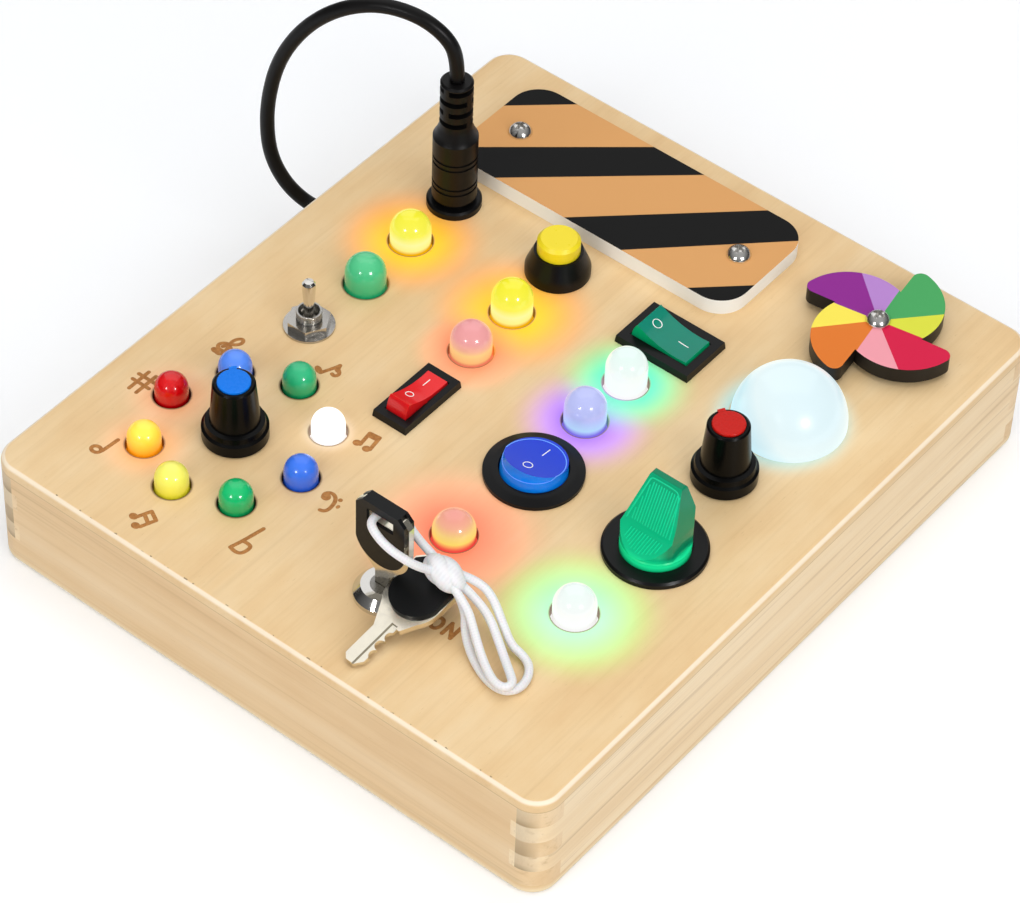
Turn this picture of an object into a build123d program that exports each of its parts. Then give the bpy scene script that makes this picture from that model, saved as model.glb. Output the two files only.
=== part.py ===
from build123d import *
import os
from math import cos, pi, radians, sin, tan

# Wooden busy board: a flat finger-jointed case with lamps, switches, knobs,
# a key lock, a pinwheel and a power plug on its lid. Millimetres.
# The origin is the centre of the underside, +X runs along the front edge,
# +Y towards the sign plate and +Z up.

# ---------------------------------------------------------------- case sizes
case_width = 160.0
case_depth = 186.0
case_height = 31.0
panel_thickness = 3.0
wall_thickness = 8.0
corner_radius = 6.5
edge_round = 1.4
finger_count = 5

board = case_height
underside = case_height - panel_thickness
floor = panel_thickness
finger_height = (underside - floor) / finger_count

# Places on the lid keep their share of its width and depth.
across = case_width / 160.0
along = case_depth / 186.0

# ----------------------------------------------------------- fits and screws
running_clearance = 0.05
seat_clearance = 0.1
moving_gap = 0.3
hole_clearance = 0.1

# Wood screw, head flush in the underside.
wood_screw_radius = 1.5
wood_screw_head_radius = 2.8
wood_screw_head_height = 1.3
wood_screw_length = 12.0
wood_screw_inset = 20.0

# Machine screw with a button head, and its nut.
screw_radius = 1.5
screw_head_radius = 3.0
screw_head_height = 2.3
screw_head_edge = 0.3
screw_crown_radius = 3.3
screw_length = 11.5
screw_recess = 1.3
screw_recess_width = 0.9
screw_nut_flats = 5.5
screw_nut_height = 2.4
panel_nut_wall = 2.0

# ------------------------------------------------------------------- battery
cell_radius = 5.25
cell_length = 44.5
cell_count = 3
cell_nub_radius = 1.9
cell_nub_length = 1.0
cell_gap = 0.3
battery_wall = 1.5
battery_x = -20.0 * across
battery_rear_gap = 2.0
battery_ear = 8.0
cover_thickness = 1.5
cover_lip = 2.6

# -------------------------------------------------------- board and its wires
circuit_x = 0.0
circuit_y = -5.0 * along
circuit_width = 44.0
circuit_depth = 34.0
circuit_thickness = 1.6
circuit_foot_radius = 2.5
circuit_foot_height = 3.0
circuit_foot_inset = 4.0
connector_width = 26.0
connector_depth = 5.0
connector_height = 5.0
chip_size = 9.0
chip_height = 1.5
wire_diameter = 3.0
wire_bend = 6.0
wire_spread = 9.0
wire_pair_gap = 5.0

# ---------------------------------------------------------------- sign plate
sign_width = 84.5 * across
sign_depth = 33.8 * along
sign_thickness = 4.3
sign_corner = 7.7
sign_x = -20.9 * across
sign_rear_margin = 9.6 * along
sign_screw_spacing = 66.5 * across

# ------------------------------------------------------------------ pinwheel
wheel_x = 51.2 * across
wheel_rear_margin = 24.4 * along
wheel_radius = 20.3 * along
wheel_tip_angle = 7.4
wheel_back_radius = 16.4 * along
wheel_back_angle = -37.6
wheel_notch_radius = 11.3 * along
wheel_tip_round = 2.2
wheel_blades = 4
wheel_thickness = 4.1
spacer_radius = 3.2
spacer_height = 1.8

# --------------------------------------------------------------------- lamps
lamp_hole_gap = 0.45
lamp_flange = 0.9
lamp_flange_height = 1.0
lamp_leg = 0.6
lamp_leg_spacing = 2.54
lamp_leg_length = 8.0
large_lamp_radius = 5.0
ring_lamp_radius = 4.0
ring_lamp_centre = 2.4
ring_x = -41.5 * across
ring_y = -52.2 * along
# Turn from +X in degrees and distance from the ring's centre, as drilled.
ring_drilling = ((-0.6, 19.7), (44.6, 21.0), (89.2, 21.6), (132.0, 20.2),
                 (179.1, 20.0), (226.8, 20.9), (267.5, 20.8), (311.5, 20.6))

yellow_lamps = [(-52.7 * across, 23.1 * along, 3.7), (-19.0 * across, 19.8 * along, 4.8)]
green_lamps = [(-51.4 * across, 5.0 * along, 3.7)]
pink_lamps = [(-18.2 * across, 3.7 * along, 3.7)]
violet_lamps = [(15.9 * across, 3.2 * along, 4.5)]
amber_lamps = [(15.5 * across, -43.5 * along, 1.8)]
white_lamps = [(15.6 * across, 18.9 * along, 5.2), (50.4 * across, -44.3 * along, 2.8)]

# ---------------------------------------------------------------- dome light
dome_x = 51.4 * across
dome_y = 33.9 * along
dome_radius = 13.6
dome_skirt = 0.6
dome_wall = 1.8
dome_lip_radius = 11.2
dome_base_radius = 13.0
dome_base_height = 2.0
dome_post_radius = 2.5
dome_post_height = 5.0

# ------------------------------------------------------------- toggle switch
toggle_x = -52.3 * across
toggle_y = -14.3 * along
toggle_body_width = 8.0
toggle_body_depth = 13.0
toggle_body_height = 10.0
bush_radius = 3.0
bush_height = 5.0
toggle_pivot = 1.5
toggle_ball = 2.1
toggle_mouth = 2.6
toggle_neck = 1.1
toggle_tip_radius = 1.6
toggle_top = 14.6
toggle_washer_radius = 6.15
toggle_washer_height = 0.6
toggle_nut_flats = 9.2
toggle_nut_height = 2.0

# ------------------------------------------------------------ rotary knobs
selector_x = -42.0 * across
selector_y = -51.9 * along
selector_tab_angle = 135.0
dimmer_x = 50.7 * across
dimmer_y = 10.0 * along
dimmer_tab_angle = 150.0
can_radius = 8.0
can_height = 9.0
can_floor = 2.0
rotary_bush_radius = 3.5
rotary_bush_height = 3.0
shaft_radius = 3.0
rotary_nut_flats = 10.0
rotary_nut_height = 2.0
knob_lift = 0.4
skirt_radius = 7.8
skirt_height = 3.4
collar_radius = 7.2
collar_top = 5.2
knob_base_radius = 5.9
knob_top_radius = 5.0
knob_height = 17.0
knob_hollow_radius = 6.3
knob_hollow_height = 3.4
knob_web = 2.0
cap_radius = 3.9
cap_proud = 0.6
cap_depth = 1.0
tab_width = 1.8
tab_reach = 4.7

# -------------------------------------------------------------- rect rockers
rocker_tilt = 12.0
bezel_height = 2.0
bezel_taper = 6.0
rocker_pivot = 1.0
rocker_dip = 3.0
rocker_top_angle = 24.0
rocker_low_angle = -26.0
rocker_room = 2.4
rocker_below = 3.5
rocker_pin_radius = 0.65
rocker_pin_length = 0.45
terminal_length = 3.5
terminal_thickness = 0.8
red_rocker_x = -17.3 * across
red_rocker_y = -17.0 * along
red_bezel_length = 20.2
red_bezel_width = 9.9
red_rocker_length = 15.2
red_rocker_width = 5.7
red_body_width = 8.6
red_body_length = 17.6
green_rocker_x = 15.8 * across
green_rocker_y = 35.5 * along
green_bezel_length = 21.2
green_bezel_width = 15.0
green_rocker_length = 16.0
green_rocker_width = 9.0
green_body_width = 12.8
green_body_length = 18.6
rocker_body_depth = 13.0

# -------------------------------------------------------------- round rocker
round_x = 17.2 * across
round_y = -17.1 * along
round_bezel_radius = 11.75
round_bezel_rim = 1.0
round_body_radius = 10.0
round_lens_radius = 7.6
round_lens_dip = 4.3
round_lens_rise = 5.0
round_rise_angle = 19.0

# ------------------------------------------------------------- lever selector
lever_x = 52.3 * across
lever_y = -17.7 * along
lever_flange_radius = 12.25
lever_flange_height = 1.6
lever_body_radius = 10.4
lever_body_depth = 12.0
lever_recess_depth = 1.0
lever_base_radius = 8.2
lever_base_top = 4.0
lever_ridge_height = 21.4
lever_ridge_shift = 2.5
lever_ridge_thickness = 1.8
lever_ridge_left = -3.7
lever_ridge_right = 4.8
lever_knee_height = 9.6
lever_knee_y = -4.0
lever_foot_half = 7.4
lever_left_shoulder = 6.0
lever_waist_x = 6.7
lever_waist_height = 13.5
lever_right_shoulder = 7.5
lever_shaft_length = 10.0
lever_edge_round = 0.8

# -------------------------------------------------------------------- button
button_x = -19.6 * across
button_y = 37.9 * along
button_collar_radius = 7.95
button_collar_step = 2.0
button_collar_top = 7.0
button_rim = 0.65
button_cap_radius = 5.2
button_cap_top = 10.8
button_cap_round = 0.8
button_cap_roof = 2.0
button_travel = 2.5
button_foot = 0.5
button_foot_top = 0.8
button_foot_height = 2.2
button_barrel_wall = 0.9
button_barrel_floor = 1.0
button_spring_room = 7.1
spring_radius = 2.8
spring_wire = 0.4
spring_turns = 5
button_bore = 3.6

# ---------------------------------------------------------------------- lock
lock_x = 14.8 * across
lock_y = -66.8 * along
lock_collar_radius = 7.0
lock_collar_height = 3.2
lock_collar_top_radius = 5.3
lock_collar_step = 1.2
lock_barrel_radius = 5.9
lock_barrel_depth = 19.0
rotor_radius = 3.15
rotor_cam_radius = 5.0
rotor_cam_height = 1.5

key_width = 15.0
key_bottom = 8.5
key_top = 28.5
key_thickness = 1.6
key_pad = 0.9
key_pad_inset = 0.7
key_pad_nose = 1.3
key_shoulder_half = 5.5
key_shoulder_top = 11.0
key_shoulder_foot = 2.0
key_shoulder_low = 7.2
key_top_bevel = 1.8
key_round_centre = 16.0
key_neck_width = 4.0
key_blade_thickness = 1.6
key_blade_depth = 13.0
key_slot_width = 7.4
key_slot_height = 3.4
key_slot_centre = 24.6
key_rivet_radius = 1.5
key_rivet_height = 16.5

# Spare key: it leans on the lid by its tip, its bow held up by the lanyard.
spare_x = lock_x + 9.5
spare_y = lock_y - 1.1
spare_height = 5.7
spare_pitch = 12.5
spare_turn = 86.0
spare_width = 14.2
spare_neck_width = 4.6
spare_blade_length = 13.4
spare_step_width = 1.7
spare_shoulder_x = -4.2
spare_shoulder_half = 5.6
spare_flank = 3.4
spare_stop = 1.2
spare_stop_height = 1.0
spare_step_depth = 0.5
spare_cuts = ((3.4, 0.9), (6.2, 1.3), (8.8, 0.7))
spare_cut_radius = 1.3
spare_bow_length = 19.0
spare_corner = 3.6

# ------------------------------------------------------------------- lanyard
cord_diameter = 2.0
knot_length = 11.0
knot_diameter = 7.2
knot_centre = (28.2, -62.5, 43.6)
knot_tilt = 15.0
neck_route = [
    (26.3, -63.7, 44.0),
    (25.4, -67.2, 47.2),
    (22.7, -70.0, 50.6),
    (18.8, -71.4, 53.2),
    (14.8, -71.0, 55.2),
    (12.9, -69.3, 55.6),
    (13.3, -64.3, 55.6),
    (14.8, -61.9, 53.2),
    (16.6, -61.1, 50.0),
    (19.0, -60.9, 47.3),
    (22.2, -60.8, 45.2),
    (26.3, -61.2, 44.0),
]
near_loop_route = [
    (31.4, -63.9, 43.2),
    (36.6, -65.0, 41.0),
    (40.3, -67.0, 37.4),
    (44.4, -69.6, 34.9),
    (48.4, -72.0, 34.2),
    (51.6, -73.4, 34.1),
    (54.0, -72.9, 34.1),
    (54.3, -70.8, 34.1),
    (52.4, -69.3, 34.2),
    (49.2, -67.1, 34.4),
    (44.8, -64.2, 35.4),
    (40.4, -61.6, 37.0),
    (36.0, -60.8, 39.2),
    (31.5, -61.6, 42.4),
]
far_loop_route = [
    (30.2, -60.4, 43.2),
    (34.4, -58.0, 41.6),
    (38.4, -58.0, 39.0),
    (43.0, -60.3, 35.8),
    (47.0, -62.3, 33.6),
    (49.8, -62.1, 32.6),
    (52.9, -63.2, 32.2),
    (55.0, -66.4, 32.1),
    (55.3, -70.2, 32.1),
    (53.0, -72.7, 32.1),
    (49.0, -72.6, 32.1),
    (44.6, -70.9, 32.1),
    (40.4, -68.6, 32.7),
    (37.4, -66.6, 35.4),
    (35.7, -64.3, 39.1),
    (30.9, -62.6, 41.7),
]

# ------------------------------------------------------------ socket and plug
jack_x = -53.4 * across
jack_y = 40.3 * along
jack_flange_radius = 6.75
jack_flange_height = 2.0
jack_barrel_radius = 5.5
jack_barrel_depth = 13.0
jack_pin_radius = 1.0
jack_socket_depth = 9.5
sleeve_radius = 2.75
sleeve_wall = 1.2
sleeve_length = 9.0
sleeve_grip = 6.0
plug_radius = 5.5
plug_shoulder = 22.8
plug_foot_inset = 1.1
plug_foot_height = 1.4
plug_grooves = (6.6, 8.2, 14.4, 16.0)
plug_groove_depth = 0.25
plug_groove_width = 0.7
relief_radius = 4.0
relief_base = 25.3
relief_slots = 4
relief_slot_depth = 1.5
relief_slot_height = 1.5
relief_web = 1.6
relief_spacing = 3.3
plug_top = 39.0

power_diameter = 3.6
power_route = [
    (-53.4, 40.3, 70.0),
    (-53.4, 40.3, 77.3),
    (-56.5, 39.2, 83.0),
    (-63.0, 36.8, 87.0),
    (-71.9, 33.6, 87.4),
    (-81.3, 30.1, 83.0),
    (-89.5, 27.2, 74.4),
    (-95.6, 24.9, 62.4),
    (-98.5, 23.9, 48.0),
    (-98.6, 23.9, 36.0),
    (-97.2, 24.5, 28.6),
    (-94.3, 25.8, 22.4),
    (-90.8, 27.6, 18.2),
    (-87.3, 28.6, 16.9),
    (-84.0, 28.6, 16.9),
]
gland_flange_radius = 4.6
gland_flange_height = 1.4
gland_bush_radius = 3.4
gland_nose_radius = 3.4
gland_taper = 8.0
gland_y = power_route[-1][1]
gland_z = power_route[-1][2]
gland_nose = -case_width / 2 - power_route[-1][0]

# ------------------------------------------------------- places that follow
sign_y = case_depth / 2 - sign_rear_margin - sign_depth / 2
wheel_y = case_depth / 2 - wheel_rear_margin
wheel_bottom = board + spacer_height
wheel_top = wheel_bottom + wheel_thickness
cell_pitch = 2 * cell_radius + cell_gap
battery_length = cell_length + cell_nub_length + 2 * cell_gap + 2 * battery_wall
battery_depth = cell_count * cell_pitch + cell_gap + 2 * battery_wall
battery_y = case_depth / 2 - wall_thickness - battery_rear_gap - battery_depth / 2
cell_z = cover_thickness + cell_gap + cell_radius
battery_top = cell_z + cell_radius + cell_gap + battery_wall
cover_length = battery_length + 2 * battery_ear
cover_depth = battery_depth + 2 * cover_lip
cover_screw_x = battery_length / 2 + battery_ear / 2
screw_places = [
    (sign_x - sign_screw_spacing / 2, sign_y, board + sign_thickness),
    (sign_x + sign_screw_spacing / 2, sign_y, board + sign_thickness),
    (wheel_x, wheel_y, wheel_top + seat_clearance),
]
wall_screw_places = [
    (x * (case_width / 2 - wood_screw_inset), y * (case_depth - wall_thickness) / 2)
    for x in (-1, 1)
    for y in (-1, 1)
] + [(x * (case_width - wall_thickness) / 2, 0) for x in (-1, 1)]
cover_screw_places = [(battery_x + x * cover_screw_x, battery_y) for x in (-1, 1)]
all_large_lamps = yellow_lamps + green_lamps + pink_lamps
all_large_lamps += violet_lamps + amber_lamps + white_lamps
ring_places = [
    (ring_x + reach * cos(radians(turn)), ring_y + reach * sin(radians(turn)))
    for turn, reach in ring_drilling
]


def upright(x, y, z=0.0):
    """Vertical plane facing the front: local X is +X, local Y is +Z."""
    return Plane(origin=(x, y, z), x_dir=(1, 0, 0), z_dir=(0, -1, 0))


def turned(x, y, points, mode=Mode.ADD):
    """A turned form about the vertical through x, y, from (radius, height) points."""
    with BuildSketch(upright(x, y)) as profile:
        with BuildLine():
            Polyline(*points, close=True)
        make_face()
    revolve(profile.sketch, axis=Axis((x, y, 0), (0, 0, 1)), mode=mode)


def post(x, y, low, high, radius, mode=Mode.ADD):
    """A round post or hole between two heights."""
    with BuildSketch(Plane((x, y, low))) as disc:
        Circle(radius)
    extrude(disc.sketch, amount=high - low, mode=mode)


def block(x, y, low, high, width, depth, mode=Mode.ADD):
    """A rectangular block or hole between two heights, centred on x, y."""
    with BuildSketch(Plane((x, y, low))) as outline:
        Rectangle(width, depth)
    extrude(outline.sketch, amount=high - low, mode=mode)


def hexagon(x, y, low, high, flats, bore):
    """A hexagon nut between two heights."""
    with BuildSketch(Plane((x, y, low))) as outline:
        RegularPolygon(flats / 2, 6, major_radius=False)
        Circle(bore, mode=Mode.SUBTRACT)
    extrude(outline.sketch, amount=high - low)


# ---------------------------------------------------------------------- case
def wall(width, depth, x, y, first_finger):
    """One board of the frame, with alternate fingers cut away at both ends."""
    with BuildPart() as plank:
        block(x, y, floor, underside, width, depth)
        for level in range(first_finger, finger_count, 2):
            low = floor + level * finger_height
            for end_x in (-1, 1):
                for end_y in (-1, 1):
                    block(
                        end_x * (case_width - wall_thickness) / 2,
                        end_y * (case_depth - wall_thickness) / 2,
                        low,
                        low + finger_height,
                        wall_thickness,
                        wall_thickness,
                        mode=Mode.SUBTRACT,
                    )
        with BuildSketch(Plane.XY.offset(floor)) as outline:
            RectangleRounded(case_width, case_depth, corner_radius)
        extrude(outline.sketch, amount=underside - floor, mode=Mode.INTERSECT)
        for place in wall_screw_places:
            post(*place, floor, wood_screw_length + hole_clearance,
                 wood_screw_radius + hole_clearance, mode=Mode.SUBTRACT)
    return plank


front_wall = wall(case_width, wall_thickness, 0, (wall_thickness - case_depth) / 2, 1)
rear_wall = wall(case_width, wall_thickness, 0, (case_depth - wall_thickness) / 2, 1)
right_wall = wall(wall_thickness, case_depth, (case_width - wall_thickness) / 2, 0, 0)

with BuildPart() as left_wall:
    add(wall(wall_thickness, case_depth, (wall_thickness - case_width) / 2, 0, 0).part)
    with BuildSketch(Plane((-case_width / 2, gland_y, gland_z), z_dir=(1, 0, 0))):
        Circle(gland_bush_radius + hole_clearance)
    extrude(amount=wall_thickness, mode=Mode.SUBTRACT)

with BuildPart() as bottom_panel:
    with BuildSketch():
        RectangleRounded(case_width, case_depth, corner_radius)
    extrude(amount=panel_thickness)
    fillet(bottom_panel.edges().group_by(Axis.Z)[0], edge_round)
    block(battery_x, battery_y, 0, panel_thickness, battery_length - 2 * battery_wall,
          battery_depth - 2 * battery_wall, mode=Mode.SUBTRACT)
    block(battery_x, battery_y, 0, cover_thickness, cover_length + 2 * moving_gap,
          cover_depth + 2 * moving_gap, mode=Mode.SUBTRACT)
    for place in cover_screw_places:
        post(*place, 0, panel_thickness, wood_screw_radius + hole_clearance,
             mode=Mode.SUBTRACT)
    for place in wall_screw_places:
        turned(*place, [
            (0, 0),
            (wood_screw_head_radius + hole_clearance, 0),
            (wood_screw_radius + hole_clearance, wood_screw_head_height),
            (wood_screw_radius + hole_clearance, panel_thickness),
            (0, panel_thickness),
        ], mode=Mode.SUBTRACT)

with BuildPart() as top_panel:
    with BuildSketch(Plane.XY.offset(underside)):
        RectangleRounded(case_width, case_depth, corner_radius)
    extrude(amount=panel_thickness)
    fillet(top_panel.edges().group_by(Axis.Z)[-1], edge_round)
    with BuildSketch(Plane.XY.offset(underside)) as holes:
        for x, y, height in all_large_lamps:
            with Locations((x, y)):
                Circle(large_lamp_radius + lamp_hole_gap)
        for place in ring_places:
            with Locations(place):
                Circle(ring_lamp_radius + lamp_hole_gap)
        for x, y, z in screw_places:
            with Locations((x, y)):
                Circle(screw_radius + hole_clearance)
        for x, y, radius in (
            (dome_x, dome_y, dome_lip_radius),
            (toggle_x, toggle_y, bush_radius),
            (selector_x, selector_y, rotary_bush_radius),
            (dimmer_x, dimmer_y, rotary_bush_radius),
            (round_x, round_y, round_body_radius),
            (lever_x, lever_y, lever_body_radius),
            (button_x, button_y, button_cap_radius + button_foot + moving_gap + button_barrel_wall),
            (lock_x, lock_y, lock_barrel_radius),
            (jack_x, jack_y, jack_barrel_radius),
        ):
            with Locations((x, y)):
                Circle(radius + hole_clearance)
        with Locations((red_rocker_x, red_rocker_y)):
            Rectangle(red_body_width + 2 * hole_clearance, red_body_length + 2 * hole_clearance)
        with Locations((green_rocker_x, green_rocker_y)):
            Rectangle(green_body_length + 2 * hole_clearance,
                      green_body_width + 2 * hole_clearance)
    extrude(holes.sketch, amount=panel_thickness, mode=Mode.SUBTRACT)


def wood_screw(x, y):
    """Countersunk wood screw, its head flush with the underside."""
    turned(x, y, [
        (0, 0),
        (wood_screw_head_radius, 0),
        (wood_screw_radius, wood_screw_head_height),
        (wood_screw_radius, wood_screw_length - wood_screw_radius),
        (0, wood_screw_length),
    ])


with BuildPart() as case_screws:
    for place in wall_screw_places + cover_screw_places:
        wood_screw(*place)

# ----------------------------------------------------------------- batteries
with BuildPart() as battery_box:
    block(battery_x, battery_y, floor, battery_top, battery_length, battery_depth)
    for side in (-1, 1):
        block(battery_x + side * cover_screw_x, battery_y, floor, battery_top,
              battery_ear, battery_ear)
    block(battery_x, battery_y, floor, battery_top - battery_wall,
          battery_length - 2 * battery_wall, battery_depth - 2 * battery_wall,
          mode=Mode.SUBTRACT)
    for place in cover_screw_places:
        post(*place, floor, wood_screw_length + hole_clearance,
             wood_screw_radius + hole_clearance, mode=Mode.SUBTRACT)

with BuildPart() as battery_cells:
    for row in range(cell_count):
        cell_y = battery_y + (row - (cell_count - 1) / 2) * cell_pitch
        cell_end = battery_x - (cell_length + cell_nub_length) / 2
        with BuildSketch(Plane((cell_end, cell_y, cell_z), z_dir=(1, 0, 0))):
            Circle(cell_radius)
        extrude(amount=cell_length)
        with BuildSketch(Plane((cell_end + cell_length, cell_y, cell_z), z_dir=(1, 0, 0))):
            Circle(cell_nub_radius)
        extrude(amount=cell_nub_length)

with BuildPart() as battery_cover:
    block(battery_x, battery_y, 0, cover_thickness, cover_length, cover_depth)
    for place in cover_screw_places:
        turned(*place, [
            (0, 0),
            (wood_screw_head_radius + hole_clearance, 0),
            (wood_screw_radius + hole_clearance, wood_screw_head_height),
            (wood_screw_radius + hole_clearance, cover_thickness),
            (0, cover_thickness),
        ], mode=Mode.SUBTRACT)

# ------------------------------------------------------------ control board
circuit_low = floor + circuit_foot_height
circuit_high = circuit_low + circuit_thickness
connector_y = circuit_y + (circuit_depth - connector_depth) / 2
with BuildPart() as control_board:
    block(circuit_x, circuit_y, circuit_low, circuit_high, circuit_width, circuit_depth)
    for side_x in (-1, 1):
        for side_y in (-1, 1):
            post(circuit_x + side_x * (circuit_width / 2 - circuit_foot_inset),
                 circuit_y + side_y * (circuit_depth / 2 - circuit_foot_inset),
                 floor, circuit_low, circuit_foot_radius)
    block(circuit_x, connector_y, circuit_high, circuit_high + connector_height,
          connector_width, connector_depth)
    block(circuit_x, circuit_y, circuit_high, circuit_high + chip_height, chip_size, chip_size)


def corner_radii(route):
    """Arc radius at each corner: 0.45 of the shorter run over the tangent of half the turn."""
    points = [Vector(*point) for point in route]
    radii = []
    for before, here, after in zip(points, points[1:], points[2:]):
        turn = (here - before).get_angle(after - here)
        run = min((here - before).length, (after - here).length)
        radii.append(0.45 * run / tan(radians(turn / 2)))
    return radii


def tube(name, route, diameter):
    """Round cord along straight runs joined by tangent arcs."""
    radii = corner_radii(route)
    with BuildPart() as cord:
        with BuildLine() as path:
            FilletPolyline(*route, radius=radii)
        start = Vector(*route[0])
        with BuildSketch(Plane(start, z_dir=Vector(*route[1]) - start)):
            Circle(diameter / 2)
        sweep(path=path.wires()[0])
    volume = pi * diameter**2 / 4 * path.wires()[0].length
    print(name, "radii", [round(radius, 1) for radius in radii],
          "length", round(path.wires()[0].length, 1),
          "volume ratio", round(cord.part.volume / volume, 4))
    return cord.part


connector_face = circuit_y + circuit_depth / 2
connector_middle = circuit_high + connector_height / 2
wire_lie = floor + wire_diameter / 2 + seat_clearance
wire_rise = (connector_middle - wire_lie) / 6
battery_face = battery_y - battery_depth / 2
battery_wire_x = battery_x + wire_bend
battery_plug_x = circuit_x - wire_spread
socket_plug_x = battery_plug_x + wire_pair_gap
inner_wall = wall_thickness - case_width / 2
with BuildPart() as wiring_loom:
    add(tube("battery wire", [
        (battery_wire_x, battery_face, wire_lie),
        (battery_wire_x, battery_face - wire_bend, wire_lie),
        (battery_plug_x, connector_face + 2 * wire_bend, wire_lie + wire_rise),
        (battery_plug_x, connector_face + wire_bend, connector_middle),
        (battery_plug_x, connector_face, connector_middle),
    ], wire_diameter))
    add(tube("socket wire", [
        (inner_wall, gland_y, gland_z),
        (inner_wall + wire_bend, gland_y, gland_z),
        (inner_wall + 2 * wire_spread, (gland_y + connector_face) / 2 + wire_bend,
         (gland_z + wire_lie) / 2 - wire_bend / 2),
        ((inner_wall + socket_plug_x) / 2, connector_face + wire_spread, wire_lie),
        (socket_plug_x - wire_spread, connector_face + wire_spread, wire_lie + 2 * wire_rise),
        (socket_plug_x, connector_face + wire_bend, connector_middle),
        (socket_plug_x, connector_face, connector_middle),
    ], wire_diameter))

# ---------------------------------------------------------- sign and pinwheel
with BuildPart() as sign_plate:
    with BuildSketch(Plane((sign_x, sign_y, board))):
        RectangleRounded(sign_width, sign_depth, sign_corner)
        with GridLocations(sign_screw_spacing, 0, 2, 1):
            Circle(screw_radius + hole_clearance, mode=Mode.SUBTRACT)
    extrude(amount=sign_thickness)

with BuildPart() as face_screws:
    for x, y, z in screw_places:
        with BuildSketch(upright(x, y, z)) as head:
            with BuildLine():
                crown = RadiusArc((screw_head_radius, screw_head_edge), (0, screw_head_height),
                                  -screw_crown_radius)
                Polyline(crown @ 1, (0, -screw_length), (screw_radius, -screw_length),
                         (screw_radius, 0), (screw_head_radius, 0), crown @ 0)
            make_face()
        revolve(head.sketch, axis=Axis((x, y, 0), (0, 0, 1)))
        with BuildSketch(Plane((x, y, z + screw_head_height - screw_recess))) as recess:
            Rectangle(screw_head_radius, screw_recess_width)
            Rectangle(screw_recess_width, screw_head_radius)
        extrude(recess.sketch, amount=2 * screw_recess, mode=Mode.SUBTRACT)

with BuildPart() as pinwheel:
    with BuildSketch(Plane((wheel_x, wheel_y, wheel_bottom))) as blades:
        for blade in range(wheel_blades):
            turn = -360 / wheel_blades * blade
            with BuildSketch(mode=Mode.PRIVATE) as petal:
                with BuildLine():
                    edge = PolarLine((0, 0), wheel_radius, wheel_tip_angle)
                    back_angle = radians(wheel_back_angle)
                    end_angle = radians(wheel_tip_angle - 360 / wheel_blades)
                    back = ThreePointArc(
                        edge @ 1,
                        (wheel_back_radius * cos(back_angle), wheel_back_radius * sin(back_angle)),
                        (wheel_notch_radius * cos(end_angle), wheel_notch_radius * sin(end_angle)),
                    )
                    Line(back @ 1, (0, 0))
                make_face()
                fillet(petal.vertices().sort_by_distance((0, 0))[-1], wheel_tip_round)
            with Locations(Location((0, 0), turn)):
                add(petal.sketch)
        Circle(screw_radius + running_clearance, mode=Mode.SUBTRACT)
    extrude(amount=wheel_thickness)

with BuildPart() as pinwheel_spacer:
    with BuildSketch(Plane((wheel_x, wheel_y, board))):
        Circle(spacer_radius)
        Circle(screw_radius + hole_clearance, mode=Mode.SUBTRACT)
    extrude(amount=spacer_height)


# --------------------------------------------------------------------- lamps
def lamp(x, y, radius, centre):
    """Round-nosed lamp pushed up from below, its flange against the lid."""
    nose = board + centre
    with BuildSketch(upright(x, y)) as profile:
        with BuildLine():
            Polyline((0, nose + radius), (0, underside - lamp_flange_height),
                     (radius + lamp_flange, underside - lamp_flange_height),
                     (radius + lamp_flange, underside), (radius, underside), (radius, nose))
            RadiusArc((radius, nose), (0, nose + radius), -radius)
        make_face()
    revolve(profile.sketch, axis=Axis((x, y, 0), (0, 0, 1)))
    for side in (-1, 1):
        block(x + side * lamp_leg_spacing / 2, y,
              underside - lamp_flange_height - lamp_leg_length,
              underside - lamp_flange_height, lamp_leg, lamp_leg)


def lamp_group(places):
    """Lamps of one colour."""
    with BuildPart() as group:
        for x, y, centre in places:
            lamp(x, y, large_lamp_radius, centre)
    return group


lamp_yellow = lamp_group(yellow_lamps)
lamp_green = lamp_group(green_lamps)
lamp_pink = lamp_group(pink_lamps)
lamp_violet = lamp_group(violet_lamps)
lamp_amber = lamp_group(amber_lamps)
lamp_white = lamp_group(white_lamps)

with BuildPart() as ring_lamps:
    for x, y in ring_places:
        lamp(x, y, ring_lamp_radius, ring_lamp_centre)

with BuildPart() as dome_lens:
    inner = dome_radius - dome_wall
    with BuildSketch(upright(dome_x, dome_y, board)) as shell:
        with BuildLine():
            Polyline((0, dome_skirt + dome_radius), (0, dome_skirt + inner))
            RadiusArc((0, dome_skirt + inner), (inner, dome_skirt), inner)
            Polyline((inner, dome_skirt), (dome_lip_radius - dome_wall, dome_skirt),
                     (dome_lip_radius - dome_wall, -panel_thickness),
                     (dome_lip_radius, -panel_thickness), (dome_lip_radius, 0),
                     (dome_radius, 0), (dome_radius, dome_skirt))
            RadiusArc((dome_radius, dome_skirt), (0, dome_skirt + dome_radius), -dome_radius)
        make_face()
    revolve(shell.sketch, axis=Axis((dome_x, dome_y, 0), (0, 0, 1)))

with BuildPart() as dome_base:
    post(dome_x, dome_y, underside - dome_base_height, underside, dome_base_radius)
    post(dome_x, dome_y, underside, board + dome_post_height, dome_post_radius)

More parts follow.
